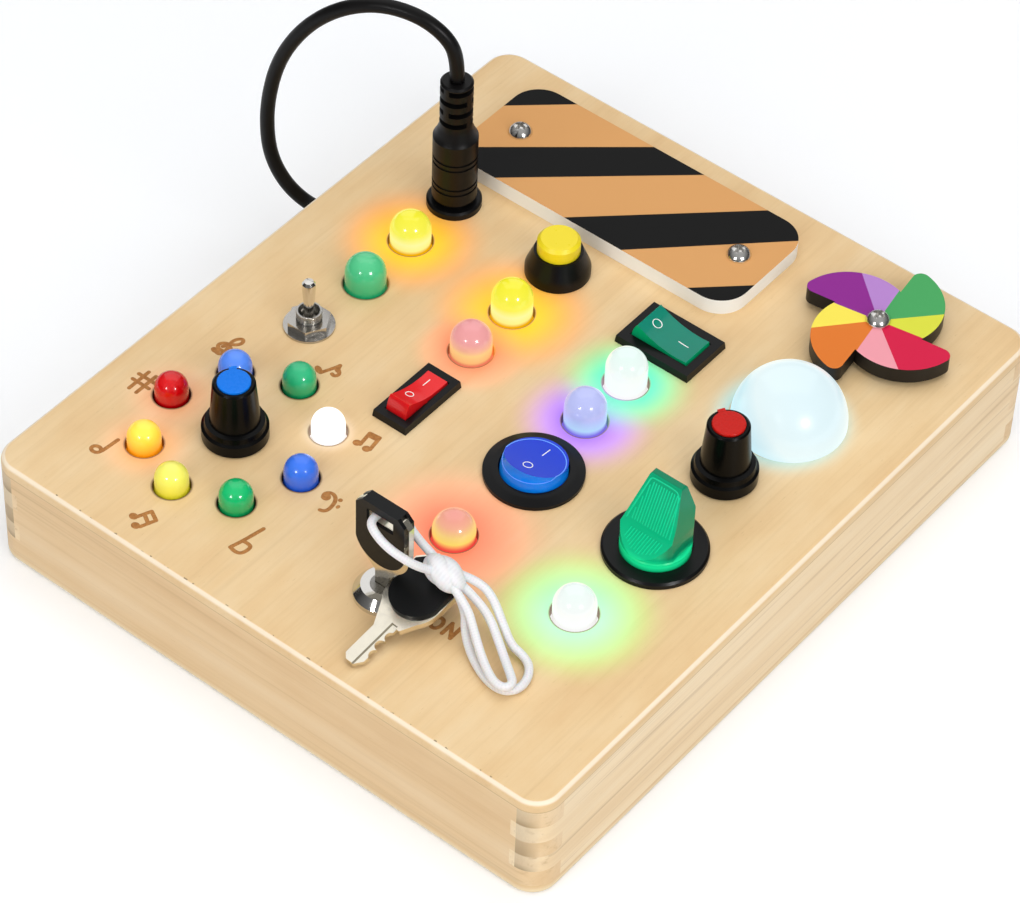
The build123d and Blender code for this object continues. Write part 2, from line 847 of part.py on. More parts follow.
# ------------------------------------------------------------- toggle switch
with BuildPart() as toggle_switch:
    block(toggle_x, toggle_y, underside - toggle_body_height, underside,
          toggle_body_width, toggle_body_depth)
    post(toggle_x, toggle_y, underside, board + bush_height, bush_radius)
    turned(toggle_x, toggle_y, [
        (0, board + toggle_pivot - toggle_ball - moving_gap),
        (toggle_ball + seat_clearance, board + toggle_pivot - toggle_ball - moving_gap),
        (toggle_ball + seat_clearance, board + toggle_pivot + toggle_ball),
        (toggle_mouth, board + bush_height),
        (0, board + bush_height),
    ], mode=Mode.SUBTRACT)

with BuildPart() as toggle_nut:
    with BuildSketch(Plane((toggle_x, toggle_y, board))):
        Circle(toggle_washer_radius)
        Circle(bush_radius + seat_clearance, mode=Mode.SUBTRACT)
    extrude(amount=toggle_washer_height)
    hexagon(toggle_x, toggle_y, board + toggle_washer_height + running_clearance,
            board + toggle_washer_height + toggle_nut_height, toggle_nut_flats,
            bush_radius + seat_clearance)

with BuildPart() as toggle_lever:
    turned(toggle_x, toggle_y, [
        (0, board + toggle_pivot),
        (toggle_neck, board + toggle_pivot),
        (toggle_neck, board + bush_height),
        (toggle_tip_radius, board + toggle_top - 3),
        (toggle_tip_radius, board + toggle_top - 1),
        (toggle_tip_radius * 0.7, board + toggle_top - 0.3),
        (0, board + toggle_top),
    ])
    with Locations((toggle_x, toggle_y, board + toggle_pivot)):
        Sphere(toggle_ball)


# -------------------------------------------------------------- rotary knobs
def rotary_switch(x, y):
    """Round can under the lid with a threaded bush up through it."""
    with BuildPart() as can:
        post(x, y, underside - can_height, underside, can_radius)
        post(x, y, underside, board + rotary_bush_height, rotary_bush_radius)
        post(x, y, underside - can_height + can_floor, board + rotary_bush_height,
             shaft_radius + running_clearance, mode=Mode.SUBTRACT)
    return can


def rotary_knob(x, y):
    """Skirted knob, hollow over the nut, and the shaft that it is pressed on."""
    low = board + knob_lift
    recess = board + knob_height - cap_depth
    shaft_top = recess - knob_web
    with BuildPart() as knob:
        turned(x, y, [
            (0, low),
            (skirt_radius, low),
            (skirt_radius, board + skirt_height),
            (collar_radius, board + skirt_height + 0.5),
            (collar_radius - 0.3, board + collar_top),
            (knob_base_radius, board + collar_top + 0.3),
            (knob_top_radius, board + knob_height - 0.4),
            (knob_top_radius - 0.4, board + knob_height),
            (0, board + knob_height),
        ])
        post(x, y, low, board + knob_hollow_height, knob_hollow_radius, mode=Mode.SUBTRACT)
        post(x, y, low, shaft_top + seat_clearance, shaft_radius + running_clearance,
             mode=Mode.SUBTRACT)
        post(x, y, recess, board + knob_height, cap_radius + hole_clearance,
             mode=Mode.SUBTRACT)
        post(x, y, underside - can_height + can_floor + moving_gap, shaft_top, shaft_radius)
    return knob


def pointer_cap(x, y, angle):
    """Coloured cap with a pointer tab over the knob's rim."""
    rim = board + knob_height
    with BuildPart() as cap:
        post(x, y, rim - cap_depth, rim + cap_proud, cap_radius)
        fillet(cap.edges().group_by(Axis.Z)[-1], cap_proud * 0.6)
        tab_plane = Plane((x, y, rim), x_dir=(cos(radians(angle)), sin(radians(angle)), 0))
        with BuildSketch(tab_plane) as tab:
            with Locations((tab_reach / 2, 0)):
                Rectangle(tab_reach, tab_width)
        extrude(tab.sketch, amount=cap_proud * 0.8)
    return cap


selector_switch = rotary_switch(selector_x, selector_y)
selector_knob = rotary_knob(selector_x, selector_y)
selector_cap = pointer_cap(selector_x, selector_y, selector_tab_angle)
dimmer_switch = rotary_switch(dimmer_x, dimmer_y)
dimmer_knob = rotary_knob(dimmer_x, dimmer_y)
dimmer_cap = pointer_cap(dimmer_x, dimmer_y, dimmer_tab_angle)


# ------------------------------------------------------------------- rockers
def rocker_housing(frame, bezel, body, pocket):
    """Snap-in housing: bezel on the lid, body below, open pocket for the rocker.

    The frame's local X is the rocker's length. Each size is (length, width).
    """
    pocket_floor = rocker_pivot - rocker_below - rocker_room
    with BuildPart() as housing:
        with BuildSketch(frame) as rim:
            Rectangle(*bezel)
        extrude(rim.sketch, amount=bezel_height, taper=bezel_taper)
        with BuildSketch(frame) as trunk:
            Rectangle(*body)
        extrude(trunk.sketch, amount=-panel_thickness - rocker_body_depth)
        with BuildSketch(frame.offset(pocket_floor)) as hollow:
            Rectangle(*pocket)
        extrude(hollow.sketch, amount=bezel_height - pocket_floor, mode=Mode.SUBTRACT)
        pin_plane = Plane(frame.from_local_coords(Vector(0, 0, rocker_pivot)),
                          z_dir=frame.y_dir)
        with BuildSketch(pin_plane) as pin_hole:
            Circle(rocker_pin_radius + running_clearance)
        extrude(pin_hole.sketch, amount=pocket[1] / 2 + rocker_pin_length + hole_clearance,
                both=True, mode=Mode.SUBTRACT)
        with BuildSketch(frame.offset(-panel_thickness - rocker_body_depth)) as blades:
            with GridLocations(body[0] / 2, 0, 2, 1):
                Rectangle(terminal_thickness, body[1] / 2)
        extrude(blades.sketch, amount=-terminal_length)
    return housing


def rocker(frame, length, width):
    """Rocker with a shallow V top, its ends round about the pivot, tilted at rest."""
    reach = length / 2
    end_angle = radians(rocker_top_angle)
    low_angle = radians(rocker_low_angle)
    pivot = frame.from_local_coords(Vector(0, 0, rocker_pivot))
    raised = frame.x_dir * cos(radians(rocker_tilt)) + frame.z_dir * sin(radians(rocker_tilt))
    side = Plane(pivot, x_dir=raised, z_dir=-frame.y_dir)
    with BuildPart() as lever:
        with BuildSketch(side) as profile:
            with BuildLine():
                right_end = ThreePointArc(
                    (reach * cos(low_angle), reach * sin(low_angle)), (reach, 0),
                    (reach * cos(end_angle), reach * sin(end_angle)))
                left_end = ThreePointArc(
                    (-reach * cos(end_angle), reach * sin(end_angle)), (-reach, 0),
                    (-reach * cos(low_angle), reach * sin(low_angle)))
                ThreePointArc(right_end @ 1, (0, rocker_dip - rocker_pivot), left_end @ 0)
                Line(left_end @ 1, right_end @ 0)
            make_face()
        extrude(profile.sketch, amount=width / 2, both=True)
        with BuildSketch(side) as pin:
            Circle(rocker_pin_radius)
        extrude(pin.sketch, amount=width / 2 + moving_gap + rocker_pin_length, both=True)
    return lever


red_frame = Plane((red_rocker_x, red_rocker_y, board), x_dir=(0, 1, 0))
red_pocket = (red_rocker_length + 2 * moving_gap, red_rocker_width + 2 * moving_gap)
red_rocker_housing = rocker_housing(
    red_frame, (red_bezel_length, red_bezel_width), (red_body_length, red_body_width), red_pocket)
red_rocker = rocker(red_frame.rotated((0, 0, 180)), red_rocker_length, red_rocker_width)

green_frame = Plane((green_rocker_x, green_rocker_y, board), x_dir=(1, 0, 0))
green_pocket = (green_rocker_length + 2 * moving_gap, green_rocker_width + 2 * moving_gap)
green_rocker_housing = rocker_housing(
    green_frame, (green_bezel_length, green_bezel_width), (green_body_length, green_body_width),
    green_pocket)
green_rocker = rocker(green_frame.rotated((0, 0, 180)), green_rocker_length, green_rocker_width)

round_reach = round_lens_radius + moving_gap
round_pocket_radius = round_reach + moving_gap
round_floor = board + rocker_pivot - rocker_below - rocker_room
with BuildPart() as round_rocker_housing:
    turned(round_x, round_y, [
        (0, underside - rocker_body_depth),
        (round_body_radius, underside - rocker_body_depth),
        (round_body_radius, board),
        (round_bezel_radius, board),
        (round_bezel_radius, board + round_bezel_rim),
        (round_pocket_radius + 0.8, board + bezel_height),
        (round_pocket_radius, board + bezel_height),
        (round_pocket_radius, round_floor),
        (0, round_floor),
    ])
    with BuildSketch(Plane((round_x, round_y, board + rocker_pivot), z_dir=(1, 0, 0))):
        Circle(rocker_pin_radius + running_clearance)
    extrude(amount=round_pocket_radius + 1.2, both=True, mode=Mode.SUBTRACT)
    with BuildSketch(Plane((round_x, round_y, underside - rocker_body_depth))) as blades:
        with GridLocations(0, round_body_radius, 1, 2):
            Rectangle(round_body_radius / 2, terminal_thickness)
    extrude(blades.sketch, amount=-terminal_length)

with BuildPart() as round_rocker:
    pivot_z = board + rocker_pivot
    drop_angle = radians(rocker_low_angle)
    rise_angle = radians(round_rise_angle)
    with BuildSketch(upright(round_x, round_y, pivot_z)) as drum:
        with BuildLine():
            side_arc = ThreePointArc(
                (round_reach * cos(drop_angle), round_reach * sin(drop_angle)),
                (round_reach, 0),
                (round_reach * cos(rise_angle), round_reach * sin(rise_angle)))
            Polyline(side_arc @ 1, (round_lens_radius - 0.3, round_lens_rise + 1),
                     (0, round_lens_rise + 1), (0, round_reach * sin(drop_angle)), side_arc @ 0)
        make_face()
    revolve(drum.sketch, axis=Axis((round_x, round_y, 0), (0, 0, 1)))
    saddle_plane = Plane((round_x, round_y, pivot_z), x_dir=(0, 1, 0), z_dir=(1, 0, 0))
    with BuildSketch(saddle_plane) as saddle:
        with BuildLine():
            top_arc = ThreePointArc((-round_reach, round_lens_rise - rocker_pivot),
                                    (0, round_lens_dip - rocker_pivot),
                                    (round_reach, round_lens_rise - rocker_pivot))
            Polyline(top_arc @ 1, (round_reach, round_lens_rise + 4),
                     (-round_reach, round_lens_rise + 4), top_arc @ 0)
        make_face()
    extrude(saddle.sketch, amount=round_reach, both=True, mode=Mode.SUBTRACT)
    with BuildSketch(saddle_plane) as pin:
        Circle(rocker_pin_radius)
    extrude(pin.sketch, amount=round_pocket_radius + 1, both=True)
round_rocker.part = round_rocker.part.rotate(
    Axis((round_x, round_y, board + rocker_pivot), (1, 0, 0)), -rocker_tilt)

# ------------------------------------------------------------ lever selector
recess_floor = board + lever_flange_height - lever_recess_depth
with BuildPart() as lever_switch:
    turned(lever_x, lever_y, [
        (0, board - lever_body_depth - panel_thickness),
        (lever_body_radius, board - lever_body_depth - panel_thickness),
        (lever_body_radius, board),
        (lever_flange_radius, board),
        (lever_flange_radius, board + lever_flange_height - 0.5),
        (lever_flange_radius - 0.5, board + lever_flange_height),
        (lever_base_radius + moving_gap, board + lever_flange_height),
        (lever_base_radius + moving_gap, recess_floor),
        (0, recess_floor),
    ])
    post(lever_x, lever_y, recess_floor - lever_shaft_length, recess_floor,
         shaft_radius + running_clearance, mode=Mode.SUBTRACT)

with BuildPart() as lever_handle:
    grip_low = recess_floor + seat_clearance
    front_plane = Plane((lever_x, lever_y, board), x_dir=(0, 1, 0), z_dir=(1, 0, 0))
    with BuildSketch(front_plane) as side_view:
        with BuildLine():
            Polyline(
                (-lever_base_radius, lever_base_top),
                (lever_knee_y, lever_knee_height),
                (lever_ridge_shift - lever_ridge_thickness / 2, lever_ridge_height),
                (lever_ridge_shift + lever_ridge_thickness / 2, lever_ridge_height),
                (lever_foot_half, lever_base_top),
                close=True)
        make_face()
    extrude(side_view.sketch, amount=lever_base_radius, both=True)
    with BuildSketch(upright(lever_x, lever_y, board)) as front_view:
        with BuildLine():
            Polyline(
                (-lever_foot_half, lever_base_top),
                (-lever_foot_half, lever_left_shoulder),
                (lever_ridge_left, lever_ridge_height),
                (lever_ridge_right, lever_ridge_height),
                (lever_waist_x, lever_waist_height),
                (lever_foot_half, lever_right_shoulder),
                (lever_foot_half, lever_base_top),
                close=True)
        make_face()
    extrude(front_view.sketch, amount=2 * lever_base_radius, both=True, mode=Mode.INTERSECT)
    post(lever_x, lever_y, board, board + lever_ridge_height + 1, lever_base_radius,
         mode=Mode.INTERSECT)
    fillet(lever_handle.edges().group_by(Axis.Z)[-1], lever_edge_round)
    turned(lever_x, lever_y, [
        (0, grip_low),
        (lever_base_radius, grip_low),
        (lever_base_radius, board + lever_base_top - 0.6),
        (lever_base_radius - 0.6, board + lever_base_top),
        (0, board + lever_base_top),
    ])
    post(lever_x, lever_y, recess_floor - lever_shaft_length + moving_gap, grip_low, shaft_radius)

# -------------------------------------------------------------------- button
wide_bore = button_cap_radius + button_foot + moving_gap
barrel_radius = wide_bore + button_barrel_wall
narrow_bore = button_cap_radius + seat_clearance
ledge = board + button_foot_top + seat_clearance
foot_low = board + button_foot_top - button_foot_height
barrel_floor = foot_low - button_travel - button_spring_room
with BuildPart() as button_collar:
    turned(button_x, button_y, [
        (0, barrel_floor - button_barrel_floor),
        (barrel_radius, barrel_floor - button_barrel_floor),
        (barrel_radius, board),
        (button_collar_radius, board),
        (button_collar_radius, board + button_collar_step),
        (narrow_bore + button_rim, board + button_collar_top),
        (narrow_bore, board + button_collar_top),
        (narrow_bore, ledge),
        (wide_bore, ledge),
        (wide_bore, barrel_floor),
        (0, barrel_floor),
    ])

bore_top = board + button_cap_top - button_cap_roof
with BuildPart() as button_cap:
    turned(button_x, button_y, [
        (button_bore, foot_low),
        (button_cap_radius + button_foot, foot_low),
        (button_cap_radius + button_foot, board + button_foot_top),
        (button_cap_radius, board + button_foot_top),
        (button_cap_radius, board + button_cap_top - button_cap_round),
        (button_cap_radius - button_cap_round, board + button_cap_top),
        (0, board + button_cap_top),
        (0, bore_top),
        (button_bore, bore_top),
    ])

with BuildPart() as button_spring:
    spring_low = barrel_floor + spring_wire + running_clearance
    spring_high = bore_top - spring_wire - running_clearance
    with BuildLine() as coil:
        Helix((spring_high - spring_low) / spring_turns, spring_high - spring_low,
              spring_radius, center=(button_x, button_y, spring_low))
    with BuildSketch(Plane(coil.line @ 0, z_dir=coil.line % 0)):
        Circle(spring_wire)
    sweep(path=coil.line, is_frenet=True)

# ---------------------------------------------------------------------- lock
barrel_end = board - lock_barrel_depth
with BuildPart() as lock_body:
    turned(lock_x, lock_y, [
        (rotor_radius + running_clearance, barrel_end),
        (lock_barrel_radius, barrel_end),
        (lock_barrel_radius, board),
        (lock_collar_radius, board),
        (lock_collar_radius, board + lock_collar_step),
        (lock_collar_top_radius, board + lock_collar_height),
        (rotor_radius + running_clearance, board + lock_collar_height),
    ])

slot_low = board - key_blade_depth - moving_gap
with BuildPart() as lock_rotor:
    turned(lock_x, lock_y, [
        (0, barrel_end - moving_gap - rotor_cam_height),
        (rotor_cam_radius, barrel_end - moving_gap - rotor_cam_height),
        (rotor_cam_radius, barrel_end - moving_gap),
        (rotor_radius, barrel_end - moving_gap),
        (rotor_radius, board + lock_collar_height),
        (0, board + lock_collar_height),
    ])
    block(lock_x, lock_y, slot_low, board + lock_collar_height,
          key_neck_width + 2 * seat_clearance, key_blade_thickness + 2 * seat_clearance,
          mode=Mode.SUBTRACT)


def bow_outline(width, low, high, round_centre, bevel):
    """Bow of a key: round below, straight sides, bevelled top corners."""
    half = width / 2
    with BuildLine() as outline:
        bowl = ThreePointArc((-half, round_centre), (0, low), (half, round_centre))
        Polyline(bowl @ 1, (half, high - bevel), (half - bevel, high), (bevel - half, high),
                 (-half, high - bevel), bowl @ 0)
    make_face(outline.edges())


with BuildPart() as key_blade:
    with BuildSketch(upright(lock_x, lock_y, board)) as plate:
        bow_outline(key_width, key_bottom, key_top - key_pad, key_round_centre, key_top_bevel)
        with Locations((0, (key_bottom + 2 - key_blade_depth) / 2)):
            Rectangle(key_neck_width, key_bottom + 2 + key_blade_depth)
        with BuildLine():
            Polyline((-key_shoulder_half, key_shoulder_top), (-key_shoulder_foot, key_shoulder_low),
                     (key_shoulder_foot, key_shoulder_low), (key_shoulder_half, key_shoulder_top),
                     close=True)
        make_face()
        with Locations((0, key_slot_centre)):
            Rectangle(key_slot_width, key_slot_height, mode=Mode.SUBTRACT)
        with Locations((0, key_rivet_height)):
            Circle(key_rivet_radius, mode=Mode.SUBTRACT)
    extrude(plate.sketch, amount=key_thickness / 2, both=True)

with BuildPart() as key_cover:
    for side in (-1, 1):
        with BuildSketch(upright(lock_x, lock_y + side * key_thickness / 2, board)) as pad:
            bow_outline(key_width - 2 * key_pad_inset, key_bottom + key_pad_inset + key_pad_nose,
                        key_top, key_round_centre, key_top_bevel)
            with Locations((0, key_slot_centre)):
                Rectangle(key_slot_width, key_slot_height, mode=Mode.SUBTRACT)
        extrude(pad.sketch, amount=-side * key_pad)
    block(lock_x, lock_y, board + key_top - key_pad, board + key_top,
          key_width - 2 * key_pad_inset - 2 * key_top_bevel, key_thickness)
    with BuildSketch(upright(lock_x, lock_y, board)) as rivet:
        with Locations((0, key_rivet_height)):
            Circle(key_rivet_radius - running_clearance)
    extrude(rivet.sketch, amount=key_thickness / 2, both=True)

spare_frame = Plane(
    origin=(spare_x, spare_y, board + spare_height),
    x_dir=(cos(radians(spare_turn)) * cos(radians(spare_pitch)),
           sin(radians(spare_turn)) * cos(radians(spare_pitch)), sin(radians(spare_pitch))),
    z_dir=(-cos(radians(spare_turn)) * sin(radians(spare_pitch)),
           -sin(radians(spare_turn)) * sin(radians(spare_pitch)), cos(radians(spare_pitch))))
bow_low = -spare_width / 2


def spare_outline(inset, end, nose=0):
    """Bow of the spare key along local X, round towards the blade, flattened there by nose."""
    half = spare_width / 2 - inset
    with BuildLine() as outline:
        bowl = ThreePointArc((0, -half), (nose - half, 0), (0, half))
        Polyline(bowl @ 1, (end - spare_corner, half), (end, half - spare_corner),
                 (end, spare_corner - half), (end - spare_corner, -half), bowl @ 0)
    make_face(outline.edges())


spare_end = spare_bow_length + bow_low
with BuildPart() as spare_key_blade:
    with BuildSketch(spare_frame) as plate:
        spare_outline(0, spare_end)
        with BuildLine():
            Polyline(
                (0, -spare_neck_width / 2),
                (bow_low - spare_blade_length + 2, -spare_neck_width / 2),
                (bow_low - spare_blade_length, -spare_neck_width / 2 + 1.6),
                (bow_low - spare_blade_length, spare_neck_width / 2 - 1.2),
                (bow_low - spare_blade_length + 1.2, spare_neck_width / 2),
                (0, spare_neck_width / 2),
                close=True)
        make_face()
        with BuildLine():
            Polyline(
                (spare_shoulder_x, spare_shoulder_half),
                (bow_low - spare_flank, spare_neck_width / 2),
                (bow_low - spare_stop, spare_neck_width / 2),
                (bow_low - spare_stop, -spare_neck_width / 2 - spare_stop_height),
                (spare_shoulder_x, -spare_shoulder_half),
                close=True)
        make_face()
        for cut_place, cut_depth in spare_cuts:
            cut_centre = cut_depth - spare_cut_radius - spare_neck_width / 2
            with Locations((bow_low - cut_place, cut_centre)):
                Circle(spare_cut_radius, mode=Mode.SUBTRACT)
        Circle(key_rivet_radius, mode=Mode.SUBTRACT)
    extrude(plate.sketch, amount=key_thickness / 2, both=True)
    with BuildSketch(spare_frame.offset(key_thickness / 2)) as step:
        with Locations((bow_low - spare_blade_length, -spare_neck_width / 2)):
            Rectangle(spare_blade_length - spare_step_depth, spare_step_width,
                      align=(Align.MIN, Align.MIN))
    extrude(step.sketch, amount=-spare_step_depth, mode=Mode.SUBTRACT)

with BuildPart() as spare_key_cover:
    for side in (-1, 1):
        with BuildSketch(spare_frame.offset(side * key_thickness / 2)) as pad:
            spare_outline(key_pad_inset, spare_end - key_pad_inset, key_pad_nose)
        extrude(pad.sketch, amount=side * key_pad)
    with BuildSketch(spare_frame) as rivet:
        Circle(key_rivet_radius - running_clearance)
    extrude(rivet.sketch, amount=key_thickness / 2, both=True)

# ------------------------------------------------------------------- lanyard
with BuildPart() as lanyard_knot:
    knot_axis = (cos(radians(knot_tilt)), 0, -sin(radians(knot_tilt)))
    with BuildSketch(Plane(knot_centre, x_dir=knot_axis, z_dir=(0, -1, 0))):
        Ellipse(knot_length / 2, knot_diameter / 2)
        with Locations((0, -knot_diameter / 2)):
            Rectangle(knot_length, knot_diameter, mode=Mode.SUBTRACT)
    revolve(axis=Axis(knot_centre, knot_axis))

with BuildPart() as lanyard_neck:
    add(tube("lanyard neck", neck_route, cord_diameter))

with BuildPart() as lanyard_loops:
    add(tube("near loop", near_loop_route, cord_diameter))
    add(tube("far loop", far_loop_route, cord_diameter))

# ------------------------------------------------------------ socket and plug
plug_low = board + jack_flange_height
socket_floor = plug_low - jack_socket_depth
with BuildPart() as dc_jack:
    turned(jack_x, jack_y, [
        (0, board - jack_barrel_depth),
        (jack_barrel_radius, board - jack_barrel_depth),
        (jack_barrel_radius, board),
        (jack_flange_radius, board),
        (jack_flange_radius, plug_low - 0.5),
        (jack_flange_radius - 0.5, plug_low),
        (sleeve_radius + running_clearance, plug_low),
        (sleeve_radius + running_clearance, socket_floor),
        (jack_pin_radius, socket_floor),
        (jack_pin_radius, plug_low - 1),
        (0, plug_low - 0.5),
    ])

with BuildPart() as plug_barrel:
    with BuildSketch(Plane((jack_x, jack_y, plug_low - sleeve_length))):
        Circle(sleeve_radius)
        Circle(sleeve_radius - sleeve_wall, mode=Mode.SUBTRACT)
    extrude(amount=sleeve_length + sleeve_grip)

with BuildPart() as plug_moulding:
    turned(jack_x, jack_y, [
        (0, plug_low),
        (plug_radius - plug_foot_inset, plug_low),
        (plug_radius - plug_foot_inset, plug_low + plug_foot_height),
        (plug_radius, plug_low + plug_foot_height),
        (plug_radius, board + plug_shoulder - 1),
        (plug_radius - 0.6, board + plug_shoulder),
        (relief_radius, board + relief_base),
        (relief_radius, board + plug_top - 0.5),
        (relief_radius - 0.5, board + plug_top),
        (0, board + plug_top),
    ])
    post(jack_x, jack_y, plug_low, plug_low + sleeve_grip + seat_clearance,
         sleeve_radius + running_clearance, mode=Mode.SUBTRACT)
    for height in plug_grooves:
        with BuildSketch(Plane((jack_x, jack_y, board + height))) as groove:
            Circle(plug_radius)
            Circle(plug_radius - plug_groove_depth, mode=Mode.SUBTRACT)
        extrude(groove.sketch, amount=plug_groove_width, mode=Mode.SUBTRACT)
    for slot in range(relief_slots):
        low = board + relief_base + relief_slot_height + slot * relief_spacing
        with BuildSketch(Plane((jack_x, jack_y, low))) as slits:
            Circle(relief_radius)
            Circle(relief_radius - relief_slot_depth, mode=Mode.SUBTRACT)
            web_turn = 90 if slot % 2 else 0
            with Locations(Location((0, 0), web_turn)):
                Rectangle(2 * relief_radius, relief_web, mode=Mode.SUBTRACT)
        extrude(slits.sketch, amount=relief_slot_height, mode=Mode.SUBTRACT)

with BuildPart() as power_cord:
    add(tube("power cord", power_route, power_diameter))

with BuildPart() as cord_gland:
    gland_face = Plane((-case_width / 2, gland_y, gland_z), z_dir=(-1, 0, 0))
    with BuildSketch(gland_face) as gland_flange:
        Circle(gland_flange_radius)
    extrude(gland_flange.sketch, amount=gland_flange_height)
    with BuildSketch(gland_face.offset(gland_flange_height)) as gland_tip:
        Circle(gland_nose_radius)
    extrude(gland_tip.sketch, amount=gland_nose - gland_flange_height, taper=gland_taper)
    with BuildSketch(gland_face) as gland_bush:
        Circle(gland_bush_radius)
    extrude(gland_bush.sketch, amount=-wall_thickness)

# ---------------------------------------------------------------------- nuts
with BuildPart() as panel_nuts:
    for x, y in ((selector_x, selector_y), (dimmer_x, dimmer_y)):
        hexagon(x, y, board, board + rotary_nut_height, rotary_nut_flats,
                rotary_bush_radius + seat_clearance)
    for x, y, bore in (
        (lock_x, lock_y, lock_barrel_radius),
        (jack_x, jack_y, jack_barrel_radius),
        (button_x, button_y, barrel_radius),
        (lever_x, lever_y, lever_body_radius),
    ):
        hexagon(x, y, underside - screw_nut_height, underside, 2 * (bore + panel_nut_wall),
                bore + seat_clearance)
    for x, y, z in screw_places:
        hexagon(x, y, underside - screw_nut_height, underside, screw_nut_flats,
                screw_radius + seat_clearance)

# -------------------------------------------------------------------- export
pieces = {
    "front_wall": front_wall,
    "rear_wall": rear_wall,
    "left_wall": left_wall,
    "right_wall": right_wall,
    "top_panel": top_panel,
    "bottom_panel": bottom_panel,
    "case_screws": case_screws,
    "battery_box": battery_box,
    "battery_cells": battery_cells,
    "battery_cover": battery_cover,
    "control_board": control_board,
    "wiring_loom": wiring_loom,
    "sign_plate": sign_plate,
    "face_screws": face_screws,
    "pinwheel": pinwheel,
    "pinwheel_spacer": pinwheel_spacer,
    "ring_lamps": ring_lamps,
    "lamp_yellow": lamp_yellow,
    "lamp_green": lamp_green,
    "lamp_pink": lamp_pink,
    "lamp_violet": lamp_violet,
    "lamp_amber": lamp_amber,
    "lamp_white": lamp_white,
    "dome_lens": dome_lens,
    "dome_base": dome_base,
    "toggle_switch": toggle_switch,
    "toggle_nut": toggle_nut,
    "toggle_lever": toggle_lever,
    "selector_switch": selector_switch,
    "selector_knob": selector_knob,
    "selector_cap": selector_cap,
    "dimmer_switch": dimmer_switch,
    "dimmer_knob": dimmer_knob,
    "dimmer_cap": dimmer_cap,
    "red_rocker_housing": red_rocker_housing,
    "red_rocker": red_rocker,
    "green_rocker_housing": green_rocker_housing,
    "green_rocker": green_rocker,
    "round_rocker_housing": round_rocker_housing,
    "round_rocker": round_rocker,
    "lever_switch": lever_switch,
    "lever_handle": lever_handle,
    "button_collar": button_collar,
    "button_cap": button_cap,
    "button_spring": button_spring,
    "lock_body": lock_body,
    "lock_rotor": lock_rotor,
    "key_blade": key_blade,
    "key_cover": key_cover,
    "spare_key_blade": spare_key_blade,
    "spare_key_cover": spare_key_cover,
    "lanyard_neck": lanyard_neck,
    "lanyard_knot": lanyard_knot,
    "lanyard_loops": lanyard_loops,
    "dc_jack": dc_jack,
    "plug_moulding": plug_moulding,
    "plug_barrel": plug_barrel,
    "power_cord": power_cord,
    "cord_gland": cord_gland,
    "panel_nuts": panel_nuts,
}
os.makedirs("parts", exist_ok=True)
for name, piece in pieces.items():
    piece.part.label = name
    export_step(piece.part, f"parts/{name}.step")
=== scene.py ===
# A wooden busy board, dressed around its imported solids. Metres, in the part's
# own frame: +X along the front edge, +Y towards the sign plate, +Z up.
import math

import bmesh
import bpy
import numpy as np
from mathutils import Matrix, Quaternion, Vector
from mathutils.bvhtree import BVHTree


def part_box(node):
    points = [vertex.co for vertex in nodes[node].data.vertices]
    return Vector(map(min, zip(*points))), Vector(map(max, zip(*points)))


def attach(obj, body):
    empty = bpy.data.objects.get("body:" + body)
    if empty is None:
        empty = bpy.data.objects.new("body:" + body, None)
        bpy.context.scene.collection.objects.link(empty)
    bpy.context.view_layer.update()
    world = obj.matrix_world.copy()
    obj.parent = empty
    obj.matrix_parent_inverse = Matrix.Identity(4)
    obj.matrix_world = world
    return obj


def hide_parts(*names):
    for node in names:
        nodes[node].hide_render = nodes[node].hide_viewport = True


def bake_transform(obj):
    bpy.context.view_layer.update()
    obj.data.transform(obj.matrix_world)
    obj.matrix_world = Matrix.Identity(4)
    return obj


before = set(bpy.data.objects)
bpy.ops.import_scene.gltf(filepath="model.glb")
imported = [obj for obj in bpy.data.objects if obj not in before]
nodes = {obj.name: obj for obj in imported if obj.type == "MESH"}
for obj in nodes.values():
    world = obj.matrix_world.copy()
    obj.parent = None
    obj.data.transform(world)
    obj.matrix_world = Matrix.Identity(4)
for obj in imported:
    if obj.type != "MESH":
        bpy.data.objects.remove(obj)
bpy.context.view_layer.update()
mm = 0.001

# ------------------------------------------------------------- case of boards
# Four solid birch boards, finger-jointed and glued at the corners, sanded round
# and left with a thin matt lacquer. Their grain runs along each board, and the
# fingers show greyer end grain with a dark glue line between them, each finger
# painted darker towards the glue line under it as painted shade.
wood_roughness = 0.46
lid_top = 31 * mm
wall = 6.5 * mm
half_across = 80 * mm
half_along = 93 * mm
finger = 5 * mm
finger_low = 3 * mm

# End grain of the corner fingers by height above the floor in mm: pale fingers,
# each painted darker towards the glue line under it as painted shade.
finger_tones_and_shade = ((8.0, "A0855F"), (9.8, "D3B993"), (12.8, "DEC8A4"), (13.1, "A48A64"),
                (17.6, "BFA57F"), (18.0, "DCC6A2"), (22.8, "E3CFAD"), (23.1, "9C825C"),
                (25.2, "CBB28C"), (28.0, "D9C29E"))


def linear(code):
    """An sRGB hex colour as linear red, green, blue and alpha."""
    values = np.array([int(code[i:i + 2], 16) for i in (0, 2, 4)]) / 255
    low = values / 12.92
    high = ((values + 0.055) / 1.055) ** 2.4
    return (*np.where(values <= 0.04045, low, high), 1.0)


def fill(tree, node, sockets):
    """Gives a node's sockets a value, an sRGB hex colour or a link to another socket."""
    for key, value in sockets.items():
        if isinstance(value, bpy.types.NodeSocket):
            tree.links.new(value, node.inputs[key])
        else:
            node.inputs[key].default_value = linear(value) if isinstance(value, str) else value


def add_node(tree, kind, sockets, **settings):
    """A new node with its settings made and its sockets filled: the node's outputs."""
    node = tree.nodes.new("ShaderNode" + kind)
    for key, value in settings.items():
        setattr(node, key, value)
    fill(tree, node, sockets)
    return node.outputs


